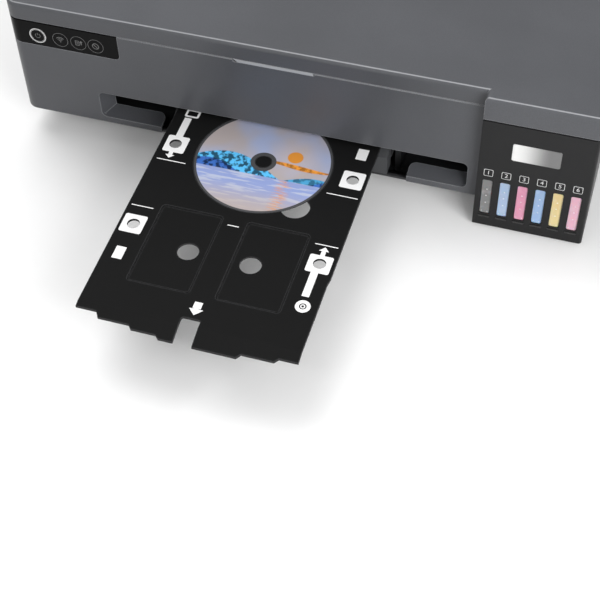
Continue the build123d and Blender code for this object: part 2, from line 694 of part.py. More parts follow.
def make_lid(shell):
    """Top lid over the mechanism and the tanks, with ribs below and a hinge tube at its rear edge."""
    cheek_x = HALF_W - HINGE_CHEEK_W
    lid = shell & block(-FAR, FAR, -FAR, HINGE_Y, 0, BODY_H)
    for side in (-1, 1):
        x0 = min(side * (cheek_x - FIT), side * FAR)
        x1 = max(side * (cheek_x - FIT), side * FAR)
        lid -= rod_x(HINGE_R + 2.5 + SEAM, x0, x1, HINGE_Y, HINGE_Z)
        lid -= block(x0, x1, HINGE_Y - HINGE_R, FAR, 0, BODY_H)
    tube = rod_x(HINGE_R, -cheek_x + FIT, cheek_x - FIT, HINGE_Y, HINGE_Z)
    lid += tube
    lid -= rod_x(HINGE_PIN_R + RUNNING_FIT, -cheek_x, cheek_x, HINGE_Y, HINGE_Z)
    rib_count = int(BODY_W / LID_RIB_PITCH) - 2
    for index in range(rib_count):
        x = (index - (rib_count - 1) / 2) * LID_RIB_PITCH
        lid += block(x, x + LID_RIB_T, MAIN_Y + WALL, HINGE_Y - HINGE_R, INNER_TOP_Z - LID_RIB_H, INNER_TOP_Z)
    return lid


def make_lid_grip():
    """Pale finger strip under the lid's front edge, slanted at its left end."""
    z1 = LID_SEAM_Z
    z0 = z1 - GRIP_H
    outline = [(GRIP_X0, z1), (GRIP_X0 + GRIP_SLANT, z0), (GRIP_X1, z0), (GRIP_X1, z1)]
    return plate_xz(make_face(Polyline(*outline, close=True)), MAIN_Y - GRIP_PROUD, MAIN_Y + WALL)


def feeder(shape):
    """Place a shape drawn flat, with Y up the slope and Z towards the paper, on the feeder's plane."""
    return Pos(PATH_X, back(FEEDER_BACK), FEEDER_Z) * Rot(FEEDER_SLOPE, 0, 0) * shape


def make_top_frame(shell):
    """Fixed rear part of the top, with the cheeks and pins of the lid's hinge and the feeder's slot."""
    cheek_x = HALF_W - HINGE_CHEEK_W
    frame = shell & block(-FAR, FAR, HINGE_Y + HINGE_R + HINGE_GAP, FAR, 0, BODY_H)
    for side in (-1, 1):
        x0 = min(side * cheek_x, side * HALF_W)
        x1 = max(side * cheek_x, side * HALF_W)
        body = plate_xy(footprint(0), TANK_SEAM_Z, BODY_H)
        body = fillet(body.faces().sort_by(Axis.Z)[-1].edges(), CROWN_R)
        cheek = body & block(x0, x1, HINGE_Y, HINGE_Y + HINGE_R + HINGE_GAP + 1, LID_SEAM_Z, BODY_H)
        cheek += rod_x(HINGE_R, x0, x1, HINGE_Y, HINGE_Z)
        frame += cheek
        pin_x0 = min(side * (cheek_x - HINGE_PIN_L), side * (cheek_x + 2))
        pin_x1 = max(side * (cheek_x - HINGE_PIN_L), side * (cheek_x + 2))
        frame += rod_x(HINGE_PIN_R, pin_x0, pin_x1, HINGE_Y, HINGE_Z)
    axis_y = back(GUARD_AXIS_BACK)
    axis_z = BODY_H - GUARD_BARREL_R
    frame -= block(PATH_X - GUARD_HALF_W - FIT, PATH_X + GUARD_HALF_W + FIT, axis_y - GUARD_BARREL_R - FIT,
                   back(SLOT_REAR), INNER_TOP_Z - 1, BODY_H + 1)
    for side in (-1, 1):
        x = PATH_X + side * (GUARD_HALF_W + FIT + 3)
        frame += block(x - 3, x + 3, axis_y - 4, axis_y + 4, axis_z - 4, INNER_TOP_Z + 0.5)
        frame -= rod_x(GUARD_PIN_R + RUNNING_FIT, x - 3.5, x + 3.5, axis_y, axis_z)
    return frame


def make_feeder_guard():
    """Flap that lies flush over the feeder's slot, on a barrel with a pin at each end."""
    axis_y = back(GUARD_AXIS_BACK)
    axis_z = BODY_H - GUARD_BARREL_R
    x0 = PATH_X - GUARD_HALF_W
    x1 = PATH_X + GUARD_HALF_W
    flap = block(x0, x1, axis_y, back(GUARD_REAR), INNER_TOP_Z, BODY_H)
    flap += rod_x(GUARD_BARREL_R, x0, x1, axis_y, axis_z)
    flap += rod_x(GUARD_PIN_R, x0 - 5, x1 + 5, axis_y, axis_z)
    return flap - rod_z(GUARD_NOTCH_R, PATH_X, back(GUARD_REAR) + GUARD_NOTCH_OUT, INNER_TOP_Z - 1, BODY_H + 1)


def gear(teeth, bore, phase, y, z):
    """Involute spur gear about an axis along X, with a tooth centred at the phase angle in degrees."""
    pitch_r = GEAR_MODULE * teeth / 2
    base_r = pitch_r * math.cos(math.radians(20))
    tip_r = pitch_r + GEAR_MODULE * 0.95
    root_r = pitch_r - GEAR_MODULE * 1.25
    involute = math.tan(math.radians(20)) - math.radians(20)
    half_at_pitch = math.pi / (2 * teeth) - GEAR_BACKLASH / (2 * pitch_r)

    def half_angle(radius):
        pressure = math.acos(min(1.0, base_r / radius))
        return half_at_pitch + involute - (math.tan(pressure) - pressure)

    start_r = max(base_r, root_r)
    flank = [(root_r, half_angle(start_r)), (start_r, half_angle(start_r))]
    flank += [(pitch_r, half_angle(pitch_r)), (tip_r, half_angle(tip_r))]
    if start_r - root_r < 0.05:
        flank = flank[1:]
    points = []
    for index in range(teeth):
        middle = math.radians(phase) + index * 2 * math.pi / teeth
        for radius, half in flank:
            points.append((radius * math.cos(middle - half), radius * math.sin(middle - half)))
        for radius, half in reversed(flank):
            points.append((radius * math.cos(middle + half), radius * math.sin(middle + half)))
    outline = make_face(Polyline(*points, close=True)) - Circle(bore)
    plane = Plane(origin=(GEAR_X - GEAR_W / 2, y, z), x_dir=(0, 1, 0), z_dir=(1, 0, 0))
    return extrude(plane * outline, GEAR_W)


def meshed_phase(angle, phase, teeth, other_teeth):
    """Tooth angle of a gear that meshes with one of the given phase, seen from it at the given angle."""
    pitch = 360 / teeth
    share = ((angle - phase) / pitch) % 1.0
    other_pitch = 360 / other_teeth
    return angle + 180 + (share + 0.5) * other_pitch


FEED_Y = back(FEED_BACK)
FEED_Z = PLATEN_Z - FEED_R
EXIT_Y = back(EXIT_BACK)
EXIT_Z = PLATEN_Z - EXIT_R
FEED_TO_IDLER = GEAR_MODULE * (FEED_TEETH + IDLER_TEETH) / 2
EXIT_TO_IDLER = GEAR_MODULE * (EXIT_TEETH + IDLER_TEETH) / 2
FEED_TO_PINION = GEAR_MODULE * (FEED_TEETH + PINION_TEETH) / 2


def idler_place():
    """Centre of the idler, above the line between the two rollers and in mesh with both."""
    dy = EXIT_Y - FEED_Y
    dz = EXIT_Z - FEED_Z
    span = math.hypot(dy, dz)
    along = (FEED_TO_IDLER**2 - EXIT_TO_IDLER**2 + span**2) / (2 * span)
    rise = math.sqrt(FEED_TO_IDLER**2 - along**2)
    return FEED_Y + (along * dy + rise * dz) / span, FEED_Z + (along * dz - rise * dy) / span


IDLER_Y, IDLER_Z = idler_place()
PINION_Y = FEED_Y + FEED_TO_PINION * math.cos(math.radians(PINION_ANGLE))
PINION_Z = FEED_Z + FEED_TO_PINION * math.sin(math.radians(PINION_ANGLE))
TO_IDLER = math.degrees(math.atan2(IDLER_Z - FEED_Z, IDLER_Y - FEED_Y))
TO_EXIT = math.degrees(math.atan2(EXIT_Z - IDLER_Z, EXIT_Y - IDLER_Y))
IDLER_PHASE = meshed_phase(TO_IDLER, 0.0, FEED_TEETH, IDLER_TEETH)
EXIT_PHASE = meshed_phase(TO_EXIT, IDLER_PHASE, IDLER_TEETH, EXIT_TEETH)
PINION_PHASE = meshed_phase(PINION_ANGLE, 0.0, FEED_TEETH, PINION_TEETH)


def make_feed_roller():
    """Main feed roller on its axle, with the driven gear at its left end."""
    roller = rod_x(FEED_R, PATH_X - ROLLER_HALF_W, PATH_X + ROLLER_HALF_W, FEED_Y, FEED_Z)
    axle = rod_x(ROLLER_AXLE_R, GEAR_X - GEAR_W / 2, FRAME_X + FRAME_T + 2, FEED_Y, FEED_Z)
    return roller + axle + gear(FEED_TEETH, ROLLER_AXLE_R - 0.5, 0.0, FEED_Y, FEED_Z)


def make_exit_roller():
    """Exit axle with its rubber rollers and the driven gear at its left end."""
    axle = rod_x(EXIT_AXLE_R, GEAR_X - GEAR_W / 2, FRAME_X + FRAME_T + 2, EXIT_Y, EXIT_Z)
    for x in spread(EXIT_ROLLER_COUNT, EXIT_HALF_SPAN):
        axle += rod_x(EXIT_R, x - EXIT_ROLLER_W / 2, x + EXIT_ROLLER_W / 2, EXIT_Y, EXIT_Z)
    return axle + gear(EXIT_TEETH, EXIT_AXLE_R - 0.5, EXIT_PHASE, EXIT_Y, EXIT_Z)


def make_idler_gear():
    """Large gear that carries the drive from the feed roller to the exit roller."""
    wheel = gear(IDLER_TEETH, IDLER_PIN_R + RUNNING_FIT, IDLER_PHASE, IDLER_Y, IDLER_Z)
    for index in range(6):
        angle = math.radians(index * 60)
        y = IDLER_Y + 15.5 * math.cos(angle)
        z = IDLER_Z + 15.5 * math.sin(angle)
        wheel -= rod_x(5.5, GEAR_X - GEAR_W, GEAR_X + GEAR_W, y, z)
    return wheel


def make_motor_pinion():
    """Small gear on the feed motor's shaft."""
    return gear(PINION_TEETH, 1.5 + RUNNING_FIT, PINION_PHASE, PINION_Y, PINION_Z)


def make_feed_motor():
    """Motor that drives the feed roller, behind the left side plate."""
    x0 = -FRAME_X + FIT
    can = rod_x(14.0, x0, x0 + 34, PINION_Y, PINION_Z)
    can = fillet(can.edges().group_by(Axis.X)[-1], 2.0)
    return can + rod_x(5.0, x0 + 33, x0 + 37, PINION_Y, PINION_Z) + rod_x(
        1.5, GEAR_X - GEAR_W / 2, x0 + 1, PINION_Y, PINION_Z)


def make_metal_frame():
    """Folded steel frame: two side plates with the bearings, and a flanged beam between them."""
    y0 = back(FRAME_FRONT)
    y1 = back(FRAME_REAR)
    outline = [(y0, FRAME_Z0), (y1, FRAME_Z0), (y1, FRAME_Z1), (back(196), FRAME_Z1)]
    outline += [(back(170), 92.0), (back(120), 92.0), (back(112), 80.0), (y0, 80.0)]
    frame = None
    for side in (-1, 1):
        x0 = min(side * FRAME_X, side * (FRAME_X + FRAME_T))
        x1 = max(side * FRAME_X, side * (FRAME_X + FRAME_T))
        plate = profile_yz(outline, x0, x1)
        foot_x0 = min(side * FRAME_X, side * (FRAME_X - FLANGE_W))
        foot_x1 = max(side * FRAME_X, side * (FRAME_X - FLANGE_W))
        for depth in (FRAME_FRONT + POST_R, FRAME_REAR - POST_R):
            plate += block(foot_x0, foot_x1, back(depth - 6), back(depth + 6), FRAME_Z0, FRAME_Z0 + FRAME_T)
        frame = plate if frame is None else frame + plate
    beam_y = back(BEAM_BACK)
    frame += block(-FRAME_X, FRAME_X, beam_y, beam_y + FRAME_T, BEAM_Z0, BEAM_Z1)
    frame += block(-FRAME_X, FRAME_X, beam_y - BEAM_FLANGE, beam_y + FRAME_T, BEAM_Z1 - FRAME_T, BEAM_Z1)
    frame += block(-FRAME_X, FRAME_X, beam_y, beam_y + BEAM_FLANGE, BEAM_Z0, BEAM_Z0 + FRAME_T)
    reach = FRAME_X + FRAME_T + 1
    frame -= rod_x(ROLLER_AXLE_R + RUNNING_FIT, -reach, reach, FEED_Y, FEED_Z)
    frame -= rod_x(EXIT_AXLE_R + RUNNING_FIT, -reach, reach, EXIT_Y, EXIT_Z)
    frame -= rod_x(SHAFT_R + RUNNING_FIT, -reach, reach, back(SHAFT_BACK), SHAFT_Z)
    frame -= rod_x(PINCH_AXLE_R + RUNNING_FIT, -reach, reach, FEED_Y, TRAY_TOP_Z + FIT + PINCH_R)
    frame -= rod_x(2.0, -reach, -FRAME_X + 1, PINION_Y, PINION_Z)
    frame -= rod_y(3.0, PULLEY_X, beam_y - 1, beam_y + 3, BELT_Z)
    frame -= rod_y(2.0 + RUNNING_FIT, -PULLEY_X, beam_y - 1, beam_y + 3, BELT_Z)
    return frame + rod_x(IDLER_PIN_R, GEAR_X - GEAR_W / 2, -FRAME_X - 0.5, IDLER_Y, IDLER_Z)


def make_pinch_rollers():
    """Row of small rollers on a thin axle, raised to let the disc tray pass."""
    z = TRAY_TOP_Z + FIT + PINCH_R
    row = rod_x(PINCH_AXLE_R, -FRAME_X - FRAME_T, FRAME_X + FRAME_T, FEED_Y, z)
    for x in spread(PINCH_COUNT, PINCH_HALF_SPAN):
        row += rod_x(PINCH_R, x - PINCH_W / 2, x + PINCH_W / 2, FEED_Y, z)
    return row


def make_platen():
    """Ribbed bed that the sheet or the tray slides over below the print head."""
    x0 = -FRAME_X + FIT
    x1 = STATION_X0 - PLATEN_X1_GAP
    y0 = back(PLATEN_FRONT)
    y1 = back(PLATEN_REAR)
    bed = block(x0, x1, y0, y1, PLATEN_BASE_Z, PLATEN_BASE_Z + WALL)
    bed += block(x0, x1, y0, y0 + 2, PLATEN_BASE_Z, PLATEN_Z - 2)
    bed += block(x0, x1, y1 - 2, y1, PLATEN_BASE_Z, PLATEN_Z - 2)
    count = int((x1 - PATH_X - RIB_W) / RIB_PITCH) * 2 + 1
    for index in range(count):
        x = PATH_X + (index - (count - 1) / 2) * RIB_PITCH
        bed += block(x - RIB_W / 2, x + RIB_W / 2, y0, y1, PLATEN_BASE_Z + 1, PLATEN_Z)
    return bed


def make_star_wheel_holder():
    """Bar across the exit with a row of thin wheels above the exit rollers."""
    bar_z = TRAY_TOP_Z + STAR_BAR_RISE
    half_w = FRAME_X - FIT
    bar = block(-half_w, half_w, back(EXIT_BACK - 5), back(EXIT_BACK + 7), bar_z, bar_z + STAR_BAR_T)
    wheel_z = TRAY_TOP_Z + FIT + STAR_R
    fork = STAR_T * 2
    for x in spread(EXIT_ROLLER_COUNT, EXIT_HALF_SPAN):
        bar += rod_x(STAR_R, x - STAR_T / 2, x + STAR_T / 2, EXIT_Y, wheel_z)
        bar += block(x - fork, x + fork, EXIT_Y - STAR_R / 2, EXIT_Y + STAR_R / 2, wheel_z - 1.5, bar_z + 0.5)
    return bar


def make_carriage_shaft():
    """Round steel shaft that the carriage slides on."""
    return rod_x(SHAFT_R, -FRAME_X - FRAME_T, FRAME_X + FRAME_T, back(SHAFT_BACK), SHAFT_Z)


def make_timing_belt():
    """Flat belt loop round the two pulleys."""
    y0 = back(BELT_BACK) - BELT_W / 2
    y1 = back(BELT_BACK) + BELT_W / 2
    inner_r = PULLEY_R + RUNNING_FIT
    outer_r = inner_r + BELT_T

    def loop(radius):
        shape = block(-PULLEY_X, PULLEY_X, y0, y1, BELT_Z - radius, BELT_Z + radius)
        shape += rod_y(radius, -PULLEY_X, y0, y1, BELT_Z)
        return shape + rod_y(radius, PULLEY_X, y0, y1, BELT_Z)

    return loop(outer_r) - loop(inner_r)


def make_pulley(x):
    """Belt pulley on a short shaft that turns in the beam."""
    y = back(BELT_BACK)
    wheel = rod_y(PULLEY_R, x, y - BELT_W / 2, y + BELT_W / 2, BELT_Z)
    wheel += rod_y(PULLEY_R + 2, x, y + BELT_W / 2 + 0.2, y + BELT_W / 2 + 1.2, BELT_Z)
    return wheel + rod_y(2.0, x, y - BELT_W / 2, back(BEAM_BACK) + 6, BELT_Z)


def make_carriage_motor():
    """Motor behind the beam that turns the right pulley."""
    y0 = back(BEAM_BACK) + FRAME_T
    x = PULLEY_X - 8
    can = rod_y(12.0, PULLEY_X, y0, y0 + 26, BELT_Z)
    can = fillet(can.edges().group_by(Axis.Y)[-1], 2.0)
    can += block(x - 10, PULLEY_X + 10, y0, y0 + 1.2, BELT_Z - 10, BELT_Z + 10)
    return can - rod_y(2.0 + RUNNING_FIT, PULLEY_X, y0 - 1, back(BEAM_BACK) + 8, BELT_Z)


def make_carriage():
    """Carriage on its shaft, with a belt clamp, a hook on the beam's flange and the tube connector."""
    x0 = CARRIAGE_X - CARRIAGE_W / 2
    x1 = CARRIAGE_X + CARRIAGE_W / 2
    y0 = back(CARRIAGE_FRONT)
    y1 = back(CARRIAGE_REAR)
    body = block(x0, x1, y0, y1, CARRIAGE_Z0, CARRIAGE_Z1)
    body = fillet(body.edges().filter_by(Axis.Z), 4.0)
    body = fillet(body.faces().sort_by(Axis.Z)[-1].edges(), 2.0)
    well = block(x0 + 6, x1 - 6, y0 + 14, y1 - 12, CARRIAGE_Z1 - 8, CARRIAGE_Z1 + 1)
    body -= well
    for index in range(TANK_COUNT):
        x = x0 + 8 + index * 10.3
        body += block(x, x + 8.3, y0 + 16, y1 - 14, CARRIAGE_Z1 - 9, CARRIAGE_Z1 - 2)
    boss_x0 = CARRIAGE_X - 20
    boss_x1 = CARRIAGE_X + 20
    shaft_y = back(SHAFT_BACK)
    body += rod_x(SHAFT_R + 2.6, boss_x0, boss_x1, shaft_y, SHAFT_Z)
    body += block(boss_x0, boss_x1, y1 - 2, shaft_y, SHAFT_Z - SHAFT_R - 2.6, SHAFT_Z + SHAFT_R + 2.6)
    body -= rod_x(SHAFT_R + RUNNING_FIT, x0 - 1, x1 + 1, shaft_y, SHAFT_Z)
    run_z = BELT_Z - PULLEY_R - RUNNING_FIT - BELT_T / 2
    clamp = block(CARRIAGE_X - 9, CARRIAGE_X + 9, y1 - 1, back(BELT_BACK) + BELT_W / 2 + 1.5,
                  run_z - BELT_T / 2 - 1.6, run_z + BELT_T / 2 + 1.6)
    clamp -= block(CARRIAGE_X - 10, CARRIAGE_X + 10, back(BELT_BACK) - BELT_W / 2 - FIT, FAR,
                   run_z - BELT_T / 2 - 0.1, run_z + BELT_T / 2 + 0.1)
    body += clamp
    hook_x0 = CARRIAGE_X - 12
    hook_x1 = CARRIAGE_X + 12
    body += block(hook_x0, hook_x1, y1 - 3.5, y1, CARRIAGE_Z1 - 3, BEAM_Z1 + FIT + 2)
    body += block(hook_x0, hook_x1, y1 - 3.5, back(BEAM_BACK) - 3, BEAM_Z1 + FIT, BEAM_Z1 + FIT + 2)
    front_y = back(RIBBON_FAR) + RIBBON_T / 2 + FIT
    return body + block(x0 + 4, x0 + 22, front_y, y0 + 1, RIBBON_Z0 - 1, CARRIAGE_Z1 - 3)


def make_print_head():
    """Head under the carriage with a stepped nozzle plate."""
    x0 = CARRIAGE_X - HEAD_W / 2
    x1 = CARRIAGE_X + HEAD_W / 2
    head = block(x0, x1, back(HEAD_FRONT), back(HEAD_REAR), HEAD_Z0 + 1.2, CARRIAGE_Z0)
    head = fillet(head.edges().filter_by(Axis.Z), 3.0)
    return head + block(x0 + 5, x1 - 5, back(HEAD_FRONT) + 4, back(HEAD_REAR) - 4, HEAD_Z0, HEAD_Z0 + 2)


def make_capping_station():
    """Parking station with a rubber cap frame under the parked head, a wiper and its pump."""
    x0 = STATION_X0
    x1 = FRAME_X - FIT
    y0 = back(STATION_FRONT)
    y1 = back(STATION_REAR)
    bed = block(x0, x1, y0, y1, STATION_Z0, STATION_Z1)
    bed = fillet(bed.edges().filter_by(Axis.Z), 3.0)
    inset = STATION_CAP_INSET
    cap_x0 = CARRIAGE_X - HEAD_W / 2 + inset
    cap_x1 = CARRIAGE_X + HEAD_W / 2 - inset
    cap_y0 = back(HEAD_FRONT) + inset - 1
    cap_y1 = back(HEAD_REAR) - inset + 1
    cap = block(cap_x0, cap_x1, cap_y0, cap_y1, STATION_Z1 - 0.5, HEAD_Z0 - FIT)
    cap -= block(cap_x0 + inset, cap_x1 - inset, cap_y0 + inset, cap_y1 - inset, STATION_Z1 + inset, HEAD_Z0)
    bed += cap
    wiper_x = cap_x0 - WIPER_GAP
    bed += block(wiper_x, wiper_x + WIPER_T, cap_y0 + 2, cap_y1 - 2, STATION_Z1 - 0.5, HEAD_Z0 - FIT)
    return bed + rod_z(PUMP_R, (x0 + x1) / 2, (y0 + y1) / 2, PUMP_Z0, STATION_Z0 + 0.5)


def make_ink_tubes():
    """Ribbon of ink tubes on edge: along the front, round one bend and back to the parked carriage."""
    half = RIBBON_T / 2
    bend_y = (back(RIBBON_NEAR) + back(RIBBON_FAR)) / 2
    bend_r = (RIBBON_FAR - RIBBON_NEAR) / 2
    tank_face = FIRST_TANK_X - TANK_BODY_W / 2 - FIT
    near_y = back(RIBBON_NEAR)
    near = block(RIBBON_BEND_X, tank_face, near_y - half, near_y + half, RIBBON_Z0, RIBBON_Z1)
    end_x = CARRIAGE_X - CONNECTOR_OFFSET
    far = block(RIBBON_BEND_X, end_x, back(RIBBON_FAR) - half, back(RIBBON_FAR) + half, RIBBON_Z0, RIBBON_Z1)
    bend = rod_z(bend_r + half, RIBBON_BEND_X, bend_y, RIBBON_Z0, RIBBON_Z1)
    bend -= rod_z(bend_r - half, RIBBON_BEND_X, bend_y, RIBBON_Z0 - 1, RIBBON_Z1 + 1)
    bend &= block(-FAR, RIBBON_BEND_X, -FAR, FAR, 0, BODY_H)
    return near + far + bend


def make_disc_tray():
    """Thin tray with a stepped front edge, a disc seat with its hub, card pockets and eject holes."""
    rear_y = ahead(TRAY_REACH - TRAY_LENGTH)
    notch_y = ahead(TRAY_REACH - TRAY_NOTCH_DEPTH)
    notch_x1 = TRAY_X0 + RIGHT_STEPS[0][0]
    points = [(TRAY_X0, rear_y)]
    left_ends = [x - STEP_SLANT for x, drop in LEFT_STEPS[1:]] + [TRAY_NOTCH_X0 - TRAY_X0]
    for (x, drop), end in zip(LEFT_STEPS, left_ends):
        points += [(TRAY_X0 + x, ahead(TRAY_REACH - drop)), (TRAY_X0 + end, ahead(TRAY_REACH - drop))]
    points += [(TRAY_NOTCH_X0, notch_y), (notch_x1, notch_y)]
    right_ends = [x for x, drop in RIGHT_STEPS[1:]] + [TRAY_X1 - TRAY_X0 - SIDE_STEP]
    start = 0.0
    for (x, drop), end in zip(RIGHT_STEPS, right_ends):
        points += [(TRAY_X0 + x + start, ahead(TRAY_REACH - drop)), (TRAY_X0 + end, ahead(TRAY_REACH - drop))]
        start = STEP_SLANT
    points.append((TRAY_X1 - SIDE_STEP, ahead(SIDE_STEP_AHEAD)))
    points.append((TRAY_X1, ahead(SIDE_STEP_AHEAD - SIDE_STEP_L)))
    points.append((TRAY_X1, rear_y))
    outline = make_face(Polyline(*points, close=True))
    for x in (TRAY_NOTCH_X0, notch_x1):
        outline = fillet(outline.vertices().sort_by_distance((x, notch_y, 0))[0], 2.0)
    for x in (TRAY_X0, TRAY_X1):
        outline = fillet(outline.vertices().sort_by_distance((x, rear_y, 0))[0], 6.0)
    lip_y = ahead(TRAY_REACH - TRAY_LIP)
    edge_y = ahead(TRAY_REACH)
    flat = block(TRAY_X0, TRAY_X1, lip_y, rear_y, TRAY_BOTTOM_Z, TRAY_TOP_Z)
    bent = [(lip_y, TRAY_TOP_Z), (edge_y, TRAY_TOP_Z - TRAY_LIP_DROP)]
    bent += [(edge_y, TRAY_BOTTOM_Z - TRAY_LIP_DROP), (lip_y, TRAY_BOTTOM_Z)]
    section = flat + profile_yz(bent, TRAY_X0, TRAY_X1)
    tray = plate_xy(outline, TRAY_BOTTOM_Z - TRAY_LIP_DROP, TRAY_TOP_Z) & section
    disc_y = ahead(DISC_AHEAD)
    seat = Circle(DISC_R + 0.4) - Circle(DISC_HOLE_R - FIT)
    tray -= plate_xy(Pos(DISC_X, disc_y) * seat, TRAY_TOP_Z - DISC_T, TRAY_TOP_Z + 1)
    for x in POCKET_XS:
        y = ahead(POCKET_AHEAD)
        pocket = round_rect(x - POCKET_W / 2, x + POCKET_W / 2, y - POCKET_L / 2, y + POCKET_L / 2, POCKET_R)
        tray -= plate_xy(pocket, TRAY_TOP_Z - POCKET_DEPTH, TRAY_TOP_Z + 1)
        groove = pocket - offset(pocket, -GROOVE_W, kind=Kind.INTERSECTION)
        tray -= plate_xy(groove, TRAY_TOP_Z - GROOVE_DEPTH, TRAY_TOP_Z)
    for x, reach in EJECT_HOLES:
        tray -= rod_z(EJECT_HOLE_R, x, ahead(reach), TRAY_BOTTOM_Z - 1, TRAY_TOP_Z + 1)
    for x, reach in SENSOR_HOLES:
        tray -= rod_z(SENSOR_HOLE_R, x, ahead(reach), TRAY_BOTTOM_Z - 1, TRAY_TOP_Z + 1)
    finger_x, finger_reach = FINGER_HOLE
    return tray - rod_z(FINGER_HOLE_R, finger_x, ahead(finger_reach), TRAY_BOTTOM_Z - 1, TRAY_TOP_Z + 1)


def make_disc():
    """Printable disc in its seat."""
    ring = Circle(DISC_R) - Circle(DISC_HOLE_R)
    return plate_xy(Pos(DISC_X, ahead(DISC_AHEAD)) * ring, TRAY_TOP_Z - DISC_T, TRAY_TOP_Z)


def make_output_stage(index):
    """One stage of the telescoping output tray. The front stage carries the pull block."""
    inset = (2 - index) * STAGE_STEP
    x0 = STACK_X0 + inset
    x1 = STACK_X1 - inset
    z0 = stage_bottom(index)
    y0 = MAIN_Y + FIT + (BLOCK_DEPTH + FIT if index else WALL)
    y1 = back(STAGE_BACK - (2 - index) * STAGE_STEP)
    stage = plate_xy(round_rect(x0, x1, y0, y1, 4.0), z0, z0 + STAGE_T)
    if index:
        return stage
    front = MAIN_Y + FIT
    rear = front + BLOCK_DEPTH
    top = TRAY_BOTTOM_Z - FIT
    outer = [(front, z0), (rear, z0), (rear, top), (front, BLOCK_FACE_Z)]
    return stage + profile_yz(outer, STACK_X0, STACK_X1)


def make_feeder_frame():
    """Rear feeder: side plates, the sloping hopper with its ribs, a back plate and the lower paper guide."""
    front_y = back(FEEDER_BACK - FEEDER_SIDE_FRONT)
    top_y = back(FEEDER_BACK + FEEDER_SIDE_TOP)
    crest_z = BODY_H - FEEDER_CREST_DROP
    side_outline = [(front_y, FEEDER_SIDE_Z0), (back(FEEDER_BACK + FEEDER_HEEL), FEEDER_SIDE_Z0)]
    side_outline += [(top_y, crest_z - FEEDER_CREST_H), (top_y, crest_z)]
    side_outline += [(back(FEEDER_BACK + FEEDER_CREST), crest_z), (front_y, BODY_H - FEEDER_BROW_DROP)]
    half = FEEDER_HALF_W
    floor_z = FLOOR_Z + WALL + FIT
    leg_y0 = back(FEEDER_BACK - FEEDER_LEG_FRONT)
    leg_y1 = back(FEEDER_BACK + FEEDER_LEG_REAR)
    frame = None
    for side in (-1, 1):
        inner_x = PATH_X + side * half
        outer_x = inner_x + side * FEEDER_PLATE_T
        foot_x = outer_x - side * FEEDER_FOOT_W
        x0, x1 = sorted((inner_x, outer_x))
        foot_x0, foot_x1 = sorted((foot_x, outer_x))
        plate = profile_yz(side_outline, x0, x1)
        plate += block(x0, x1, leg_y0, leg_y1, floor_z, FEEDER_SIDE_Z0 + 1)
        plate += block(foot_x0, foot_x1, leg_y0, leg_y1, floor_z, floor_z + FEEDER_PLATE_T)
        frame = plate if frame is None else frame + plate
    frame += feeder(block(-half - 1, half + 1, HOPPER_S0, HOPPER_S1, -HOPPER_T, 0))
    back_t = -HOPPER_T - 2 * SUPPORT_T - 3 * SUPPORT_GAP
    frame += feeder(block(-half - 1, half + 1, HOPPER_S0, HOPPER_S1, back_t - 2, back_t))
    guide_y0 = back(FEED_BACK) + FEED_R + 6
    guide = [(guide_y0, 59.0), (back(FEEDER_BACK - 2), 62.5), (back(FEEDER_BACK + 6), 70.0)]
    guide += [(back(FEEDER_BACK + 2), 71.0), (back(FEEDER_BACK - 4), 64.5), (guide_y0, 60.4)]
    frame += profile_yz(guide, PATH_X - half - 1, PATH_X + half + 1)
    axle_y, axle_z = pickup_place()
    frame -= rod_x(3.0 + RUNNING_FIT, PATH_X - half - 3, PATH_X + half + 3, axle_y, axle_z)
    return frame


def pickup_place():
    """Y and Z of the pickup roller's axle, set square above the hopper."""
    slope = math.radians(FEEDER_SLOPE)
    lift = PICKUP_R + FIT
    y = back(FEEDER_BACK) + PICKUP_S * math.cos(slope) - lift * math.sin(slope)
    return y, FEEDER_Z + PICKUP_S * math.sin(slope) + lift * math.cos(slope)


def make_pickup_roller():
    """Rubber pickup roller on its long axle."""
    y, z = pickup_place()
    axle = rod_x(3.0, PATH_X - FEEDER_HALF_W - 2, PATH_X + FEEDER_HALF_W + 2, y, z)
    tyre = rod_x(PICKUP_R, PATH_X - PICKUP_W / 2, PATH_X + PICKUP_W / 2, y, z)
    tyre = fillet(tyre.edges(), 1.0)
    return axle + tyre


def make_paper_support():
    """First stage of the pull-up paper support, with a bent grip at its top."""
    t1 = -HOPPER_T - SUPPORT_GAP
    t0 = t1 - SUPPORT_T
    outline = round_rect(-SUPPORT_HALF_W, SUPPORT_HALF_W, HOPPER_S0 + 2, SUPPORT_S1, 8.0)
    panel = extrude(Pos(0, 0, t0) * outline, SUPPORT_T)
    window = round_rect(-WINDOW_HALF_W, WINDOW_HALF_W, WINDOW_S0, WINDOW_S1, 6.0)
    return feeder(panel - extrude(Pos(0, 0, t0 - 1) * window, SUPPORT_T + 2))


def make_paper_support_extension():
    """Second stage, which slides in the first."""
    t1 = -HOPPER_T - SUPPORT_T - 2 * SUPPORT_GAP
    outline = round_rect(-EXTENSION_HALF_W, EXTENSION_HALF_W, HOPPER_S0 + 2, SUPPORT_S1 - 1.0, 8.0)
    return feeder(extrude(Pos(0, 0, t1 - SUPPORT_T) * outline, SUPPORT_T))


def make_edge_guide(side):
    """Sheet guide with an upright fence and a foot on the hopper."""
    edge = side * GUIDE_HALF_PAPER
    outer = side * (GUIDE_HALF_PAPER + GUIDE_FENCE_T)
    fence = block(min(edge, outer), max(edge, outer), GUIDE_S0, GUIDE_S1, FIT, GUIDE_FENCE_H)
    fence = fillet(fence.edges().filter_by(Axis.X).group_by(Axis.Z)[-1], 4.0)
    inner = side * (GUIDE_HALF_PAPER - 24)
    foot = block(min(inner, outer), max(inner, outer), GUIDE_S0, GUIDE_S1, FIT, FIT + 1.2)
    return feeder(fence + foot)


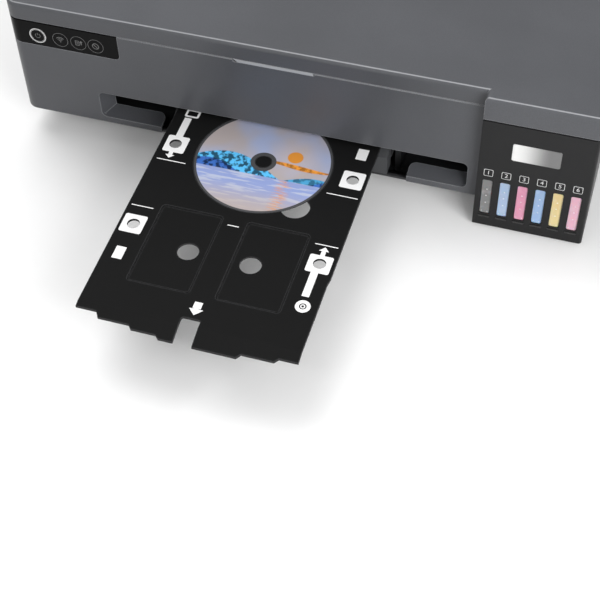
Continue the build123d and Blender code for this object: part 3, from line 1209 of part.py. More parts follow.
def make_power_supply():
    """Closed power supply beside the mains inlet."""
    case = block(SUPPLY_X, SUPPLY_X + SUPPLY_W, SUPPLY_Y, SUPPLY_Y + SUPPLY_L, SUPPLY_Z0, SUPPLY_Z1)
    case = fillet(case.edges().filter_by(Axis.Z), 3.0)
    return case


def make_mains_inlet():
    """Two-pin mains inlet, with its pins in a recess that is flush with the back wall."""
    half_w = INLET_W / 2
    half_h = INLET_H / 2
    front_y = SUPPLY_Y + SUPPLY_L + FIT
    body = block(INLET_X - half_w, INLET_X + half_w, front_y, REAR_Y, INLET_Z - half_h, INLET_Z + half_h)
    recess = Rectangle(17.0, 8.4)
    recess = fillet(recess.vertices(), 4.0)
    recess = Pos(INLET_X, INLET_Z) * recess
    body -= plate_xz(recess, REAR_Y - 13.0, REAR_Y + 1)
    for side in (-1, 1):
        body += rod_y(1.2, INLET_X + side * 4.3, REAR_Y - 14.0, REAR_Y - 3.0, INLET_Z)
    return body


def make_usb_port():
    """Square data port with its tongue, in a metal shell."""
    half_w = USB_W / 2
    half_h = USB_H / 2
    shell = block(USB_X - half_w, USB_X + half_w, REAR_Y - 11.2, REAR_Y - 0.4, USB_Z - half_h, USB_Z + half_h)
    shell -= block(USB_X - 4.2, USB_X + 4.2, REAR_Y - 9.5, REAR_Y, USB_Z - 3.9, USB_Z + 3.9)
    return shell + block(USB_X - 2.8, USB_X + 2.8, REAR_Y - 10.0, REAR_Y - 2.0, USB_Z - 1.6, USB_Z + 1.6)


def make_main_board():
    """Circuit board behind the back wall with its chips and connectors."""
    y1 = REAR_Y - BOARD_BACK
    y0 = y1 - BOARD_T
    x1 = HALF_W - BOARD_INSET
    board = block(x1 - BOARD_W, x1, y0, y1, BOARD_Z0, BODY_H - BOARD_DROP)
    for inset, z, w, h, t in BOARD_CHIPS:
        x = x1 - inset
        board += block(x - w / 2, x + w / 2, y0 - t, y0 + 0.1, z - h / 2, z + h / 2)
    return board


def make_case_screws():
    """Screws sunk in the back wall."""
    screws = []
    for x in SCREW_XS:
        head_y = REAR_Y - SCREW_SINK
        head = rod_y(SCREW_HEAD_R, x, head_y - SCREW_HEAD_T, head_y, SCREW_Z)
        screws.append(head + rod_y(SCREW_R, x, head_y - SCREW_LENGTH, head_y - SCREW_HEAD_T / 2, SCREW_Z))
    return screws


TOP_SHELL = crown()
save("base_case", make_base_case())
save("rubber_feet", make_feet())
save("front_cover", make_front_cover())
save("left_cover", make_left_cover())
save("right_cover", make_right_cover())
save("rear_cover", make_rear_cover())
save("top_frame", make_top_frame(TOP_SHELL))
save("tank_cover", make_tank_cover())
save("control_panel", make_control_panel())
save("metal_frame", make_metal_frame())
save("carriage_shaft", make_carriage_shaft())
save("timing_belt", make_timing_belt())
save("carriage_motor", make_carriage_motor())
save("feed_motor", make_feed_motor())
save("platen", make_platen())
save("star_wheel_holder", make_star_wheel_holder())
save("feeder_frame", make_feeder_frame())
save("capping_station", make_capping_station())
save("power_supply", [make_power_supply(), make_mains_inlet()])
save("main_board", [make_main_board(), make_usb_port()])
save("ink_tubes", make_ink_tubes())
save("case_screws", make_case_screws())
for number, colour in enumerate(TANK_NAMES):
    save(f"ink_tank_{colour}", make_ink_tank(number))
    save(f"filler_cap_{colour}", make_filler_cap(number))
save("lid", make_lid(TOP_SHELL))
save("lid_grip", make_lid_grip())
for name, button_x in zip(BUTTON_NAMES, BUTTON_XS):
    save(name, make_button(button_x))
save("disc_tray", make_disc_tray())
save("disc", make_disc())
save("output_tray_front", make_output_stage(0))
save("output_tray_middle", make_output_stage(1))
save("output_tray_rear", make_output_stage(2))
save("paper_support", make_paper_support())
save("paper_support_extension", make_paper_support_extension())
save("feeder_guard", make_feeder_guard())
save("left_edge_guide", make_edge_guide(-1))
save("right_edge_guide", make_edge_guide(1))
save("carriage", make_carriage())
save("print_head", make_print_head())
save("feed_roller", make_feed_roller())
save("exit_roller", make_exit_roller())
save("idler_gear", make_idler_gear())
save("motor_pinion", make_motor_pinion())
save("pinch_rollers", make_pinch_rollers())
save("pickup_roller", make_pickup_roller())
save("motor_pulley", make_pulley(PULLEY_X))
save("idler_pulley", make_pulley(-PULLEY_X))
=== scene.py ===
import math

import bpy
import numpy as np
from bpy.props import FloatProperty, FloatVectorProperty, PointerProperty
from mathutils import Matrix, Vector


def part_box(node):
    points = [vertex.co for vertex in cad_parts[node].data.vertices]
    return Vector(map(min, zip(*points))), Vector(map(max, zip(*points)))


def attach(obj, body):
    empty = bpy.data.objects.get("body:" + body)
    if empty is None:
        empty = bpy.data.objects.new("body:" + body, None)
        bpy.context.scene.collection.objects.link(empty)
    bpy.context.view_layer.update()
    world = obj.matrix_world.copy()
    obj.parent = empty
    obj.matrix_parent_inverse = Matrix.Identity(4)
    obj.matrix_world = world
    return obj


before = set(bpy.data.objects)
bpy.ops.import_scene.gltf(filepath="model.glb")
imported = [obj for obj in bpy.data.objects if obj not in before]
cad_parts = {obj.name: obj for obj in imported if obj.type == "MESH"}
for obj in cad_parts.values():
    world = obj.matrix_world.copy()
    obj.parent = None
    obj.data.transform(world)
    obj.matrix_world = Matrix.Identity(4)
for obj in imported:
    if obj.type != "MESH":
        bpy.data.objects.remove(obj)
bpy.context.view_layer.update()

# Finishes, printed marks and light for a wide photo printer with refillable tanks.
# The moulded parts come from the frame. This file gives each one its material, adds the marks and
# small trim that lie on them, and sets the table, the lamps and the camera.

bl_info = {
    "name": "Photo Printer Dressing",
    "version": (1, 0, 0),
    "blender": (4, 5, 0),
    "location": "3D View > Sidebar > Printer",
    "description": "Finishes, printed marks and studio light for a photo printer with refillable tanks",
    "category": "Object",
}

MM = 0.001
TANK_FACE_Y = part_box("tank_cover")[0].y
FRONT_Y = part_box("front_cover")[0].y
TRAY_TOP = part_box("disc_tray")[1].z
TANK_COLOURS = ("grey", "light_cyan", "magenta", "cyan", "yellow", "light_magenta")
BUTTONS = ("power_button", "network_button", "sheet_button", "cancel_button")

# Casing sizes that the strip above the rear cover follows, in mm
CORNER_R = 12.0
WALL_T = 2.5
LEDGE_IN = 0.6
LEDGE_H = 0.8
SEAM_FIT = 0.3

# Marks and trim on the front of the tanks, in mm. Z counts from the floor and H from the front.
INK_H = 0.06
NUMBER_Z = 66.7
NUMBER_SIZE = 6.0
NUMBER_H = 0.05
BOX_HALF_W = 4.0
BOX_Z = (62.8, 70.7)
BOX_LINE = 0.45
BOX_OUTER_R = 1.2
BOX_INNER_R = 0.9
SPECKS = ((0.2, 46.0, 0.8), (0.0, 38.5, 0.75), (0.1, 30.0, 0.7), (-2.6, 19.4, 0.6), (2.4, 19.2, 0.6))
SPECK_H = 0.25
SILL_HALF_W = 5.2
SILL_Z = (13.2, 15.4)
SILL_R = 0.8
SILL_H = 0.45
BADGE_X = (192.4, 232.9)
BADGE_Z = (86.5, 105.0)
BADGE_R = 1.6
BADGE_H = 0.4
# The badge's painted reflection turns from bright to grey between these X
BADGE_REFLECTION_X = (196.0, 226.0)
INK_FADE_Z = (17.0, 58.0)

# Rings and signs of the buttons, in mm
RING_INNER_R = 6.95
RING_OUTER_R = 7.3
LIT_RING_OUTER_R = 7.85
LIT_EDGE_OUTER_R = 6.55
LIT_EDGE_INNER_R = 6.3
SIGN_H = 0.05

# Marks on the disc tray, in mm
MARK_SINK = 0.02
TARGET_R = 1.6
TARGET_HOLE_R = 5.4
BAR_R = 0.4
FINE_LINES = ((-105.5, -86.0, -108.0), (-104.5, -78.3, -50.9), (-20.3, -10.5, -108.5), (48.4, 75.4, -51.4),
              (55.1, 74.7, -108.5))

# The print on the disc: its radius in mm, then places in shares of that radius
DISC_R = 60.0
SUN_AT = (0.42, 0.2, 0.0)
BARE_RIM = (0.962, 0.968)
BARE_HUB = (0.184, 0.19)

# Where the port's case and the board end, in mm in front of the back of the port
PORT_DEPTH = 11.0
BOARD_DEPTH = 12.75

# Moulded plastic: how far its gloss varies with handling, and the reach in mm and the colour of the painted highlight
# on its edges
HANDLING = 0.05
HIGHLIGHT_EDGE_REACH = 1.4
EDGE_HIGHLIGHT_COLOUR = (0.55, 0.56, 0.58, 1.0)

# Table, camera and lamps in m, but the sensor and the lens in mm. A lamp has its name, the name of its power
# setting, its size, its place and its aim.
TABLE_HALF = 6.0
SENSOR_WIDTH = 36.0
CAMERA_CLIP = (0.05, 50.0)
CAMERA_PLACE = (0.276279, -0.887778, 0.887979)
CAMERA_RIGHT = (0.956489, 0.290938, -0.021984)
CAMERA_UP = (-0.211622, 0.743651, 0.634192)
CAMERA_LENS = 81.847
GLOSSY_LAMP = "strip lamp"
LAMPS = (("key lamp", "key", (1.4, 1.4), (-0.8, 0.6, 1.7), (0.0, 0.0, 0.0)),
         ("front lamp", "front", (0.7, 0.7), (0.85, -0.8, 0.6), (0.15, -0.2, 0.08)),
         (GLOSSY_LAMP, "strip", (1.5, 0.12), (-0.05, -1.3, 1.35), (0.0, -0.2, 0.15)))


def middle(node):
    """Middle of a frame part's box."""
    low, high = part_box(node)
    return (low + high) / 2


# Shapes

def grid_faces(rows, columns, wrap_rows):
    """Quads of a closed grid: each joins a point to the next along its row and to the row after it."""
    across, down = np.meshgrid(np.arange(columns), np.arange(rows if wrap_rows else rows - 1))
    after = (down + 1) % rows
    beside = (across + 1) % columns
    quads = (down * columns + across, down * columns + beside, after * columns + beside, after * columns + across)
    return np.stack(quads, axis=-1).reshape(-1, 4)


def solid_of_rings(rings, wrap_rows=False):
    """Points and faces of a tube through closed rings. Its ends are closed by fans unless it wraps."""
    rows, columns = rings.shape[:2]
    points = rings.reshape(-1, 3)
    faces = grid_faces(rows, columns, wrap_rows).tolist()
    if wrap_rows:
        return points, faces
    first = len(points)
    points = np.concatenate([points, rings[:1].mean(axis=1), rings[-1:].mean(axis=1)])
    here = np.arange(columns)
    beside = (here + 1) % columns
    last = (rows - 1) * columns
    faces += np.stack([np.full(columns, first), beside, here], axis=-1).tolist()
    faces += np.stack([np.full(columns, first + 1), last + here, last + beside], axis=-1).tolist()
    return points, faces


def circle(x, y, radius, count=48):
    """Points x + r cos t, y + r sin t for t round a full turn."""
    turn = np.arange(count) * 2 * np.pi / count
    return np.stack([x + radius * np.cos(turn), y + radius * np.sin(turn)], axis=-1)


def rounded(x0, x1, y0, y1, radius, steps=6):
    """Rounded rectangle: a quarter circle about each corner's centre, for the angle over a quarter turn."""
    centres = np.array([(x1 - radius, y1 - radius), (x0 + radius, y1 - radius),
                        (x0 + radius, y0 + radius), (x1 - radius, y0 + radius)])
    turn = np.arange(4)[:, None] * np.pi / 2 + np.linspace(0, np.pi / 2, steps)[None, :]
    quarters = radius * np.stack([np.cos(turn), np.sin(turn)], axis=-1)
    return (centres[:, None, :] + quarters).reshape(-1, 2)


def even(outline, count):
    """The closed outline as points at equal steps along its length, by linear interpolation."""
    closed = np.concatenate([outline, outline[:1]])
    along = np.concatenate([[0.0], np.cumsum(np.linalg.norm(np.diff(closed, axis=0), axis=1))])
    steps = np.arange(count) * along[-1] / count
    return np.stack([np.interp(steps, along, closed[:, 0]), np.interp(steps, along, closed[:, 1])], axis=-1)


def lifted(outline, height):
    """The outline as a ring at one height."""
    return np.concatenate([outline, np.full((len(outline), 1), height)], axis=1)


def plate(outline, thickness, hole=None, sink=0.05, soft=0.3):
    """Flat plate: its outline goes up the side, in over a soft edge and across the top.

    A hole is a second outline with as many points, and the surface then returns down its wall."""
    edge = min(soft, 0.45) * thickness
    shrink = 1 - edge / max(np.ptp(outline[:, 0]), np.ptp(outline[:, 1])) * 2
    centre = outline.mean(axis=0)
    inset = centre + (outline - centre) * shrink
    rings = [lifted(outline, -sink), lifted(outline, thickness - edge), lifted(inset, thickness)]
    if hole is None:
        return solid_of_rings(np.stack(rings))
    rings += [lifted(hole, thickness), lifted(hole, -sink)]
    return solid_of_rings(np.stack(rings), wrap_rows=True)


def ribbon(path, width, thickness, sink=0.05):
    """Flat stroke: a rectangle across the path is carried along it, square to its direction."""
    path = np.asarray(path, float)
    ahead = np.gradient(path, axis=0)
    ahead /= np.linalg.norm(ahead, axis=1)[:, None]
    side = np.stack([ahead[:, 1], -ahead[:, 0]], axis=-1) * width / 2
    corners = [(-1, -sink), (-1, thickness), (1, thickness), (1, -sink)]
    rings = np.stack([lifted(path + side * s, h) for s, h in corners], axis=1)
    count = len(path)
    faces = grid_faces(count, 4, False).tolist()
    faces += [[3, 2, 1, 0], [4 * count - 4, 4 * count - 3, 4 * count - 2, 4 * count - 1]]
    return rings.reshape(-1, 3), faces


def dome(x, y, radius, height, count=20, rows=5):
    """Low dome: radius r cos t and height h sin t for t from the rim to near the pole."""
    rise = np.linspace(0, np.pi / 2 * 0.92, rows)
    rings = [lifted(circle(x, y, radius * np.cos(t), count), height * np.sin(t)) for t in rise]
    return solid_of_rings(np.stack(rings))


def arrow(tip, base, half_head, half_shaft, tail):
    """Block arrow along Y, from its tip past the head's base to the end of its shaft."""
    x, sign = tip[0], np.sign(base - tip[1])
    points = [(x, tip[1]), (x + half_head, base), (x + half_shaft, base), (x + half_shaft, tail)]
    points += [(x - half_shaft, tail), (x - half_shaft, base), (x - half_head, base)]
    points = np.array(points)
    return points if sign > 0 else points[::-1]


def arc(x, y, radius, start, stop, count=16):
    """Part of a circle between two angles in degrees."""
    turn = np.radians(np.linspace(start, stop, count))
    return np.stack([x + radius * np.cos(turn), y + radius * np.sin(turn)], axis=-1)


def rear_strip():
    """Strip of wall above the rear cover: its section, given as depth and height, is carried along the
    outline c + (r - depth) (cos t, sin t), straight along the back and round the rear left corner."""
    low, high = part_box("rear_cover"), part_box("left_cover")
    wall_low, wall_high = low[1].z / MM, high[1].z / MM
    section = [(0.0, wall_low - LEDGE_H), (0.0, wall_high - LEDGE_H), (LEDGE_IN, wall_high - LEDGE_H),
               (LEDGE_IN, wall_high), (WALL_T, wall_high), (WALL_T, wall_low), (LEDGE_IN, wall_low),
               (LEDGE_IN, wall_low - LEDGE_H)]
    centre_x, centre_y = low[0].x / MM + CORNER_R, low[1].y / MM - CORNER_R
    stations = [(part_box("tank_cover")[0].x / MM - SEAM_FIT, centre_y, math.pi / 2)]
    stations += [(centre_x, centre_y, angle) for angle in np.linspace(math.pi / 2, math.pi, 13)]
    stations += [(centre_x, high[1].y / MM + SEAM_FIT, math.pi)]
    rings = [[(x + (CORNER_R - depth) * math.cos(angle), y + (CORNER_R - depth) * math.sin(angle), height)
              for depth, height in reversed(section)] for x, y, angle in stations]
    return solid_of_rings(np.array(rings))


def joined(shapes):
    """One set of points and faces from several."""
    points, faces, first = [], [], 0
    for some_points, some_faces in shapes:
        points.append(some_points)
        faces += [[index + first for index in face] for face in some_faces]
        first += len(some_points)
    return np.concatenate(points), faces


def on_tray(points):
    """Shape drawn with X and the distance in front of the tanks, laid on the tray's surface."""
    return np.stack([points[:, 0] * MM, TANK_FACE_Y + points[:, 1] * MM, TRAY_TOP + points[:, 2] * MM], axis=-1)


def in_frame(points):
    """Shape drawn where it belongs in the frame, in mm."""
    return points * MM


def on_front(y):
    """Function that stands a shape drawn with X and Z up on a front face at this Y."""
    def place(points):
        """Points of the frame, in m."""
        return np.stack([points[:, 0] * MM, y - points[:, 2] * MM, points[:, 1] * MM], axis=-1)
    return place


def piece(name, shape, place, body, material, smooth=False):
    """Make a mesh object of a shape, set down by a place function, and let it ride on a body."""
    points, faces = shape
    mesh = bpy.data.meshes.new(name)
    mesh.from_pydata(place(points).tolist(), [], faces)
    mesh.polygons.foreach_set("use_smooth", np.full(len(mesh.polygons), smooth))
    mesh.materials.append(material)
    mesh.update()
    made = bpy.data.objects.new(name, mesh)
    bpy.context.scene.collection.objects.link(made)
    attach(made, body)


# Materials

def node(tree, kind, inputs=None, **settings):
    """Add a shader node, with its settings and with values or links for its sockets."""
    made = tree.nodes.new(kind)
    for key, value in settings.items():
        setattr(made, key, value)
    for key, value in (inputs or {}).items():
        if isinstance(value, bpy.types.NodeSocket):
            tree.links.new(value, made.inputs[key])
        else:
            made.inputs[key].default_value = value
    return made


def calc(tree, operation, *values):
    """Result of one Math node."""
    return node(tree, "ShaderNodeMath", dict(enumerate(values)), operation=operation).outputs[0]


def blend(tree, factor, below, above):
    """Colour mixed from below to above by the factor."""
    return node(tree, "ShaderNodeMix", {0: factor, 6: below, 7: above}, data_type="RGBA").outputs[2]


def ramp(tree, value, low, high):
    """Value stretched so that low becomes 0 and high becomes 1, smoothly."""
    return node(tree, "ShaderNodeMapRange", {0: value, 1: low, 2: high, 3: 0.0, 4: 1.0},
                interpolation_type="SMOOTHSTEP").outputs[0]


def inverse(tree, value):
    """1 minus the value."""
    return calc(tree, "SUBTRACT", 1.0, value)


def object_place(tree):
    """Object coordinates."""
    return tree.nodes.new("ShaderNodeTexCoord").outputs["Object"]


def axis_of(tree, vector, axis):
    """One axis of a vector."""
    return node(tree, "ShaderNodeSeparateXYZ", {0: vector}).outputs[axis]


def stretched(tree, vector, factors):
    """Vector with each axis multiplied by its factor."""
    return node(tree, "ShaderNodeVectorMath", {0: vector, 1: factors}, operation="MULTIPLY").outputs[0]


def noise(tree, vector, scale, detail, **more):
    """Value of a noise texture."""
    return node(tree, "ShaderNodeTexNoise", {"Vector": vector, "Scale": scale, "Detail": detail, **more}).outputs[0]


def opaque(colour):
    """The colour with full alpha."""
    return tuple(colour[:3]) + (1.0,)


def group(name, inputs, outputs):
    """Empty shader node group with named sockets."""
    tree = bpy.data.node_groups.new(name, "ShaderNodeTree")
    for label, kind, default in inputs:
        socket = tree.interface.new_socket(label, in_out="INPUT", socket_type=kind)
        socket.default_value = default
    for label, kind in outputs:
        tree.interface.new_socket(label, in_out="OUTPUT", socket_type=kind)
    return tree, tree.nodes.new("NodeGroupInput"), tree.nodes.new("NodeGroupOutput")


def moulded_group():
    """Moulded plastic: fine spark-eroded grain, slow shade patches, handling marks in the gloss and a painted
    highlight on its edges.
    """
    tree, given, result = group("Moulded Surface", [
        ("Colour", "NodeSocketColor", (0.1, 0.1, 0.1, 1)), ("Other Colour", "NodeSocketColor", (0.1, 0.1, 0.1, 1)),
        ("Grain Scale", "NodeSocketFloat", 1800.0), ("Grain Depth", "NodeSocketFloat", 0.1),
        ("Roughness", "NodeSocketFloat", 0.5), ("Handling", "NodeSocketFloat", 0.06),
        ("Edge Radius", "NodeSocketFloat", 0.0004), ("Edge Tone", "NodeSocketFloat", 0.0)],
        [("Colour", "NodeSocketColor"), ("Roughness", "NodeSocketFloat"), ("Normal", "NodeSocketVector")])
    place = object_place(tree)
    grain = noise(tree, place, given.outputs["Grain Scale"], 2.0)
    patches = noise(tree, place, 9.0, 4.0, Roughness=0.6)
    smears = noise(tree, place, 38.0, 5.0, Distortion=1.2)
    tone = calc(tree, "MULTIPLY_ADD", grain, 0.55, calc(tree, "MULTIPLY", patches, 0.45))
    colour = blend(tree, ramp(tree, tone, 0.36, 0.64), given.outputs["Colour"], given.outputs["Other Colour"])
    swing = calc(tree, "MULTIPLY", calc(tree, "SUBTRACT", smears, 0.5), given.outputs["Handling"])
    rough = calc(tree, "MULTIPLY_ADD", swing, 2.0, given.outputs["Roughness"])
    edge = node(tree, "ShaderNodeBevel", {"Radius": given.outputs["Edge Radius"]}, samples=4)
    bump = node(tree, "ShaderNodeBump", {"Strength": given.outputs["Grain Depth"], "Distance": 0.2 * MM,
                                         "Height": grain, "Normal": edge.outputs[0]})
    # Painted highlight on the edges, in a pale colour: the sharp ones, where a wide bevel turns the normal, and the
    # top's rounded front edge, by its slope
    flat = tree.nodes.new("ShaderNodeNewGeometry").outputs["Normal"]
    wide = node(tree, "ShaderNodeBevel", {"Radius": HIGHLIGHT_EDGE_REACH * MM}, samples=4).outputs[0]
    turned = node(tree, "ShaderNodeVectorMath", {0: wide, 1: flat}, operation="DOT_PRODUCT").outputs["Value"]
    sharp = ramp(tree, inverse(tree, turned), 0.02, 0.2)
    slope, ahead = axis_of(tree, flat, "Z"), axis_of(tree, flat, "Y")
    brow_highlight = calc(tree, "MULTIPLY", ramp(tree, slope, 0.74, 0.82), ramp(tree, slope, 0.95, 0.88))
    brow_highlight = calc(tree, "MULTIPLY", brow_highlight, ramp(tree, ahead, -0.25, -0.4))
    painted_highlight = calc(tree, "MULTIPLY", calc(tree, "MAXIMUM", sharp, brow_highlight), given.outputs["Edge Tone"])
    colour = blend(tree, painted_highlight, colour, EDGE_HIGHLIGHT_COLOUR)
    for label, socket in (("Colour", colour), ("Roughness", rough), ("Normal", bump.outputs[0])):
        tree.links.new(socket, result.inputs[label])
    return tree


def brushed_group():
    """Brushed or rolled metal: long fine lines along one axis, in tone, gloss and height."""
    tree, given, result = group("Brushed Surface", [
        ("Colour", "NodeSocketColor", (0.6, 0.6, 0.6, 1)), ("Other Colour", "NodeSocketColor", (0.5, 0.5, 0.5, 1)),
        ("Stretch", "NodeSocketVector", (30.0, 900.0, 900.0)), ("Depth", "NodeSocketFloat", 0.1),
        ("Roughness", "NodeSocketFloat", 0.3)],
        [("Colour", "NodeSocketColor"), ("Roughness", "NodeSocketFloat"), ("Normal", "NodeSocketVector")])
    place = object_place(tree)
    lines = noise(tree, stretched(tree, place, given.outputs["Stretch"]), 1.0, 3.0)
    stains = noise(tree, place, 22.0, 4.0)
    tone = calc(tree, "MULTIPLY_ADD", stains, 0.5, calc(tree, "MULTIPLY", lines, 0.5))
    colour = blend(tree, ramp(tree, tone, 0.35, 0.65), given.outputs["Colour"], given.outputs["Other Colour"])
    swing = calc(tree, "MULTIPLY", calc(tree, "SUBTRACT", lines, 0.5), 0.3)
    rough = calc(tree, "ADD", given.outputs["Roughness"], swing)
    bump = node(tree, "ShaderNodeBump", {"Strength": given.outputs["Depth"], "Distance": 0.1 * MM, "Height": lines})
    for label, socket in (("Colour", colour), ("Roughness", rough), ("Normal", bump.outputs[0])):
        tree.links.new(socket, result.inputs[label])
    return tree


def shared(name, build):
    """A node group, built the first time that it is asked for."""
    return bpy.data.node_groups.get(name) or build()


def surface(name, **sockets):
    """New material, with values set on its Principled shader. Returns it, its tree and the shader."""
    material = bpy.data.materials.new(name)
    material.use_nodes = True
    shader = material.node_tree.nodes["Principled BSDF"]
    for label, value in sockets.items():
        shader.inputs[label.replace("_", " ")].default_value = value
    return material, material.node_tree, shader


def fed(name, tree_name, build, values, **sockets):
    """Material whose colour, roughness and normal come from a shared group with its own values."""
    material, tree, shader = surface(name, **sockets)
    made = node(tree, "ShaderNodeGroup")
    made.node_tree = shared(tree_name, build)
    for label, value in values.items():
        made.inputs[label].default_value = value
    tree.links.new(made.outputs["Colour"], shader.inputs["Base Color"])
    tree.links.new(made.outputs["Roughness"], shader.inputs["Roughness"])
    tree.links.new(made.outputs["Normal"], shader.inputs["Normal"])
    return material


def shade(colour, factor):
    """The colour made darker or lighter, with full alpha."""
    return opaque([min(1.0, c * factor) for c in colour[:3]])


def moulded(name, colour, spread=0.08, grain=1500.0, depth=0.12, rough=0.5, edge=0.4, painted_highlight=0.0, **sockets):
    """Moulded plastic of one colour. The edge is the radius of its rounded look in mm, and the last value how
    strongly a painted highlight makes its edges pale.
    """
    values = {"Colour": shade(colour, 1 - spread), "Other Colour": shade(colour, 1 + spread),
              "Grain Scale": grain, "Grain Depth": depth, "Roughness": rough, "Handling": HANDLING,
              "Edge Radius": edge * MM, "Edge Tone": painted_highlight}
    return fed(name, "Moulded Surface", moulded_group, values, **sockets)


def ink_of(name, colour):
    """Printed ink of one colour, made the first time that it is asked for."""
    return bpy.data.materials.get(name) or moulded(name, colour, spread=0.02, depth=0.02, edge=0.02)


def metal(name, colour, stretch, rough=0.32, depth=0.12, **sockets):
    """Metal with drawn lines along one axis."""
    values = {"Colour": shade(colour, 0.85), "Other Colour": shade(colour, 1.08), "Stretch": stretch,
              "Roughness": rough, "Depth": depth}
    return fed(name, "Brushed Surface", brushed_group, values, Metallic=1.0, **sockets)


def ink_window(name, colour, low_z, high_z):
    """Clear tank wall over ink: a little lighter low down and darker towards the top, with slow pale clouds in the
    ink.
    """
    material, tree, shader = surface(name, Roughness=0.22, Coat_Weight=0.6, Coat_Roughness=0.08,
                                     Subsurface_Weight=0.25, Subsurface_Scale=0.004)
    place = object_place(tree)
    clouds = noise(tree, place, 120.0, 3.0)
    level = calc(tree, "MULTIPLY_ADD", clouds, 4.0 * MM, axis_of(tree, place, "Z"))
    tinted = blend(tree, ramp(tree, level, low_z, high_z), shade(colour, 1.06), shade(colour, 0.93))
    pale = opaque([0.75 * c + 0.22 for c in colour[:3]])
    clouded = blend(tree, calc(tree, "MULTIPLY", ramp(tree, clouds, 0.5, 0.72), 0.5), tinted, pale)
    tree.links.new(clouded, shader.inputs["Base Color"])
    return material


def disc_print(look):
    """Printed disc: a pale misty bay with hills on one shore and a low sun, inside a bare rim and hub.

    It is drawn in shares of the disc's radius, from its centre. A shore or a hill lies under a sine curve."""
    material, tree, shader = surface("disc print", Roughness=0.3, Specular_IOR_Level=0.4)
    centre = middle("disc")
    moved = node(tree, "ShaderNodeMapping", {"Vector": object_place(tree), "Location": (-centre.x, -centre.y, 0.0)})
    share = 1 / (DISC_R * MM)
    disc = stretched(tree, moved.outputs[0], (share, share, 0.0))
    across, up = axis_of(tree, disc, "X"), axis_of(tree, disc, "Y")

    def cloud(scale, detail, stretch=(1.0, 1.0, 1.0)):
        """Noise over the disc."""
        return noise(tree, stretched(tree, disc, stretch), scale, detail)

    def under(level, swell=0.0, steep=0.0, shift=0.0, soft=0.02):
        """1 below the curve level + swell sin(steep x + shift), and 0 above it."""
        wave = calc(tree, "SINE", calc(tree, "MULTIPLY_ADD", across, steep, shift))
        return ramp(tree, calc(tree, "SUBTRACT", calc(tree, "MULTIPLY_ADD", wave, swell, level), up), 0.0, soft)

    def both(first, second):
        """Product of two masks."""
        return calc(tree, "MULTIPLY", first, second)

    def paint(colour, mask, ink, speckle, low=0.6, high=1.5):
        """The colour, covered inside the mask with an ink that the speckle makes darker or lighter."""
        inked = blend(tree, ramp(tree, speckle, 0.44, 0.56), shade(ink, low), shade(ink, high))
        return blend(tree, mask, colour, inked)

    mist, flecks, ripples = cloud(1.1, 2.0), cloud(11.0, 4.0), cloud(1.0, 3.0, (2.2, 19.0, 1.0))

    # Sky, with a glow round the sun and a streak of cloud
    warm = calc(tree, "MULTIPLY_ADD", ramp(tree, mist, 0.36, 0.64), 0.75, both(under(0.1, soft=1.1), 0.35))
    colour = blend(tree, warm, opaque(look.sky), opaque(look.haze))
    from_sun = node(tree, "ShaderNodeVectorMath", {0: disc, 1: SUN_AT}, operation="DISTANCE").outputs["Value"]
    glow = calc(tree, "SUBTRACT", 0.5, both(ramp(tree, from_sun, 0.1, 0.5), 0.5))
    colour = blend(tree, glow, colour, opaque(look.glow))
    colour = blend(tree, inverse(tree, ramp(tree, from_sun, 0.105, 0.12)), colour, opaque(look.sun))
    streak = both(under(0.05, 0.025, 4.0, 0.5), inverse(tree, under(0.0, 0.03, 5.0, 1.4)))
    colour = paint(colour, both(streak, ramp(tree, across, 0.05, 0.2)), look.sun, flecks, 0.55, 1.15)

    # Hills, the far ones first
    colour = paint(colour, under(-0.3, 0.17, 3.0, -0.98), look.far_hill, flecks)
    colour = paint(colour, under(-0.18, 0.27, 2.4, 2.75), look.far_hill, flecks, 0.35, 2.2)
    colour = paint(colour, under(-0.3, 0.2, 3.2, 3.97), look.near_hill, flecks, 0.5, 3.0)

    # Water with ripples, warmer near the shore below and with the sun's path on it
    water = blend(tree, ramp(tree, ripples, 0.5, 0.6), opaque(look.water), opaque(look.ripple))
    near = inverse(tree, ramp(tree, up, -0.95, -0.4))
    water = blend(tree, both(near, 0.8), water, opaque(look.haze))
    off_path = calc(tree, "ABSOLUTE", calc(tree, "SUBTRACT", across, SUN_AT[0]))
    path = calc(tree, "SUBTRACT", 0.8, both(ramp(tree, off_path, 0.0, 0.16), 0.8))
    glint = both(path, ramp(tree, cloud(1.0, 2.0, (5.0, 60.0, 1.0)), 0.48, 0.56))
    colour = blend(tree, under(-0.27), colour, blend(tree, glint, water, opaque(look.sun)))

    # Bare rim and hub
    radius = node(tree, "ShaderNodeVectorMath", {0: disc}, operation="LENGTH").outputs["Value"]
    bare = calc(tree, "MAXIMUM", ramp(tree, radius, *BARE_RIM), inverse(tree, ramp(tree, radius, *BARE_HUB)))
    tree.links.new(blend(tree, bare, colour, opaque(look.bare)), shader.inputs["Base Color"])
    gloss = calc(tree, "MULTIPLY_ADD", bare, -0.12, calc(tree, "MULTIPLY_ADD", mist, 0.08, 0.26))
    tree.links.new(gloss, shader.inputs["Roughness"])
    return material


def badge_metal(low_x, high_x):
    """Bare metal plate with fine vertical lines, and a painted reflection that runs from bright at its left to grey
    at its right.
    """
    material, tree, shader = surface("bare badge", Metallic=0.35, Coat_Weight=0.3)
    place = object_place(tree)
    lines = noise(tree, stretched(tree, place, (2400.0, 40.0, 40.0)), 1.0, 2.0)
    painted_reflection = ramp(tree, calc(tree, "MULTIPLY_ADD", lines, 2.0 * MM, axis_of(tree, place, "X")), low_x, high_x)
    tree.links.new(blend(tree, painted_reflection, (0.95, 0.95, 0.94, 1), (0.2, 0.2, 0.2, 1)), shader.inputs["Base Color"])
    tree.links.new(calc(tree, "MULTIPLY_ADD", lines, 0.2, 0.25), shader.inputs["Roughness"])
    bump = node(tree, "ShaderNodeBump", {"Strength": 0.08, "Distance": 0.1 * MM, "Height": lines})
    tree.links.new(bump.outputs[0], shader.inputs["Normal"])
    return material


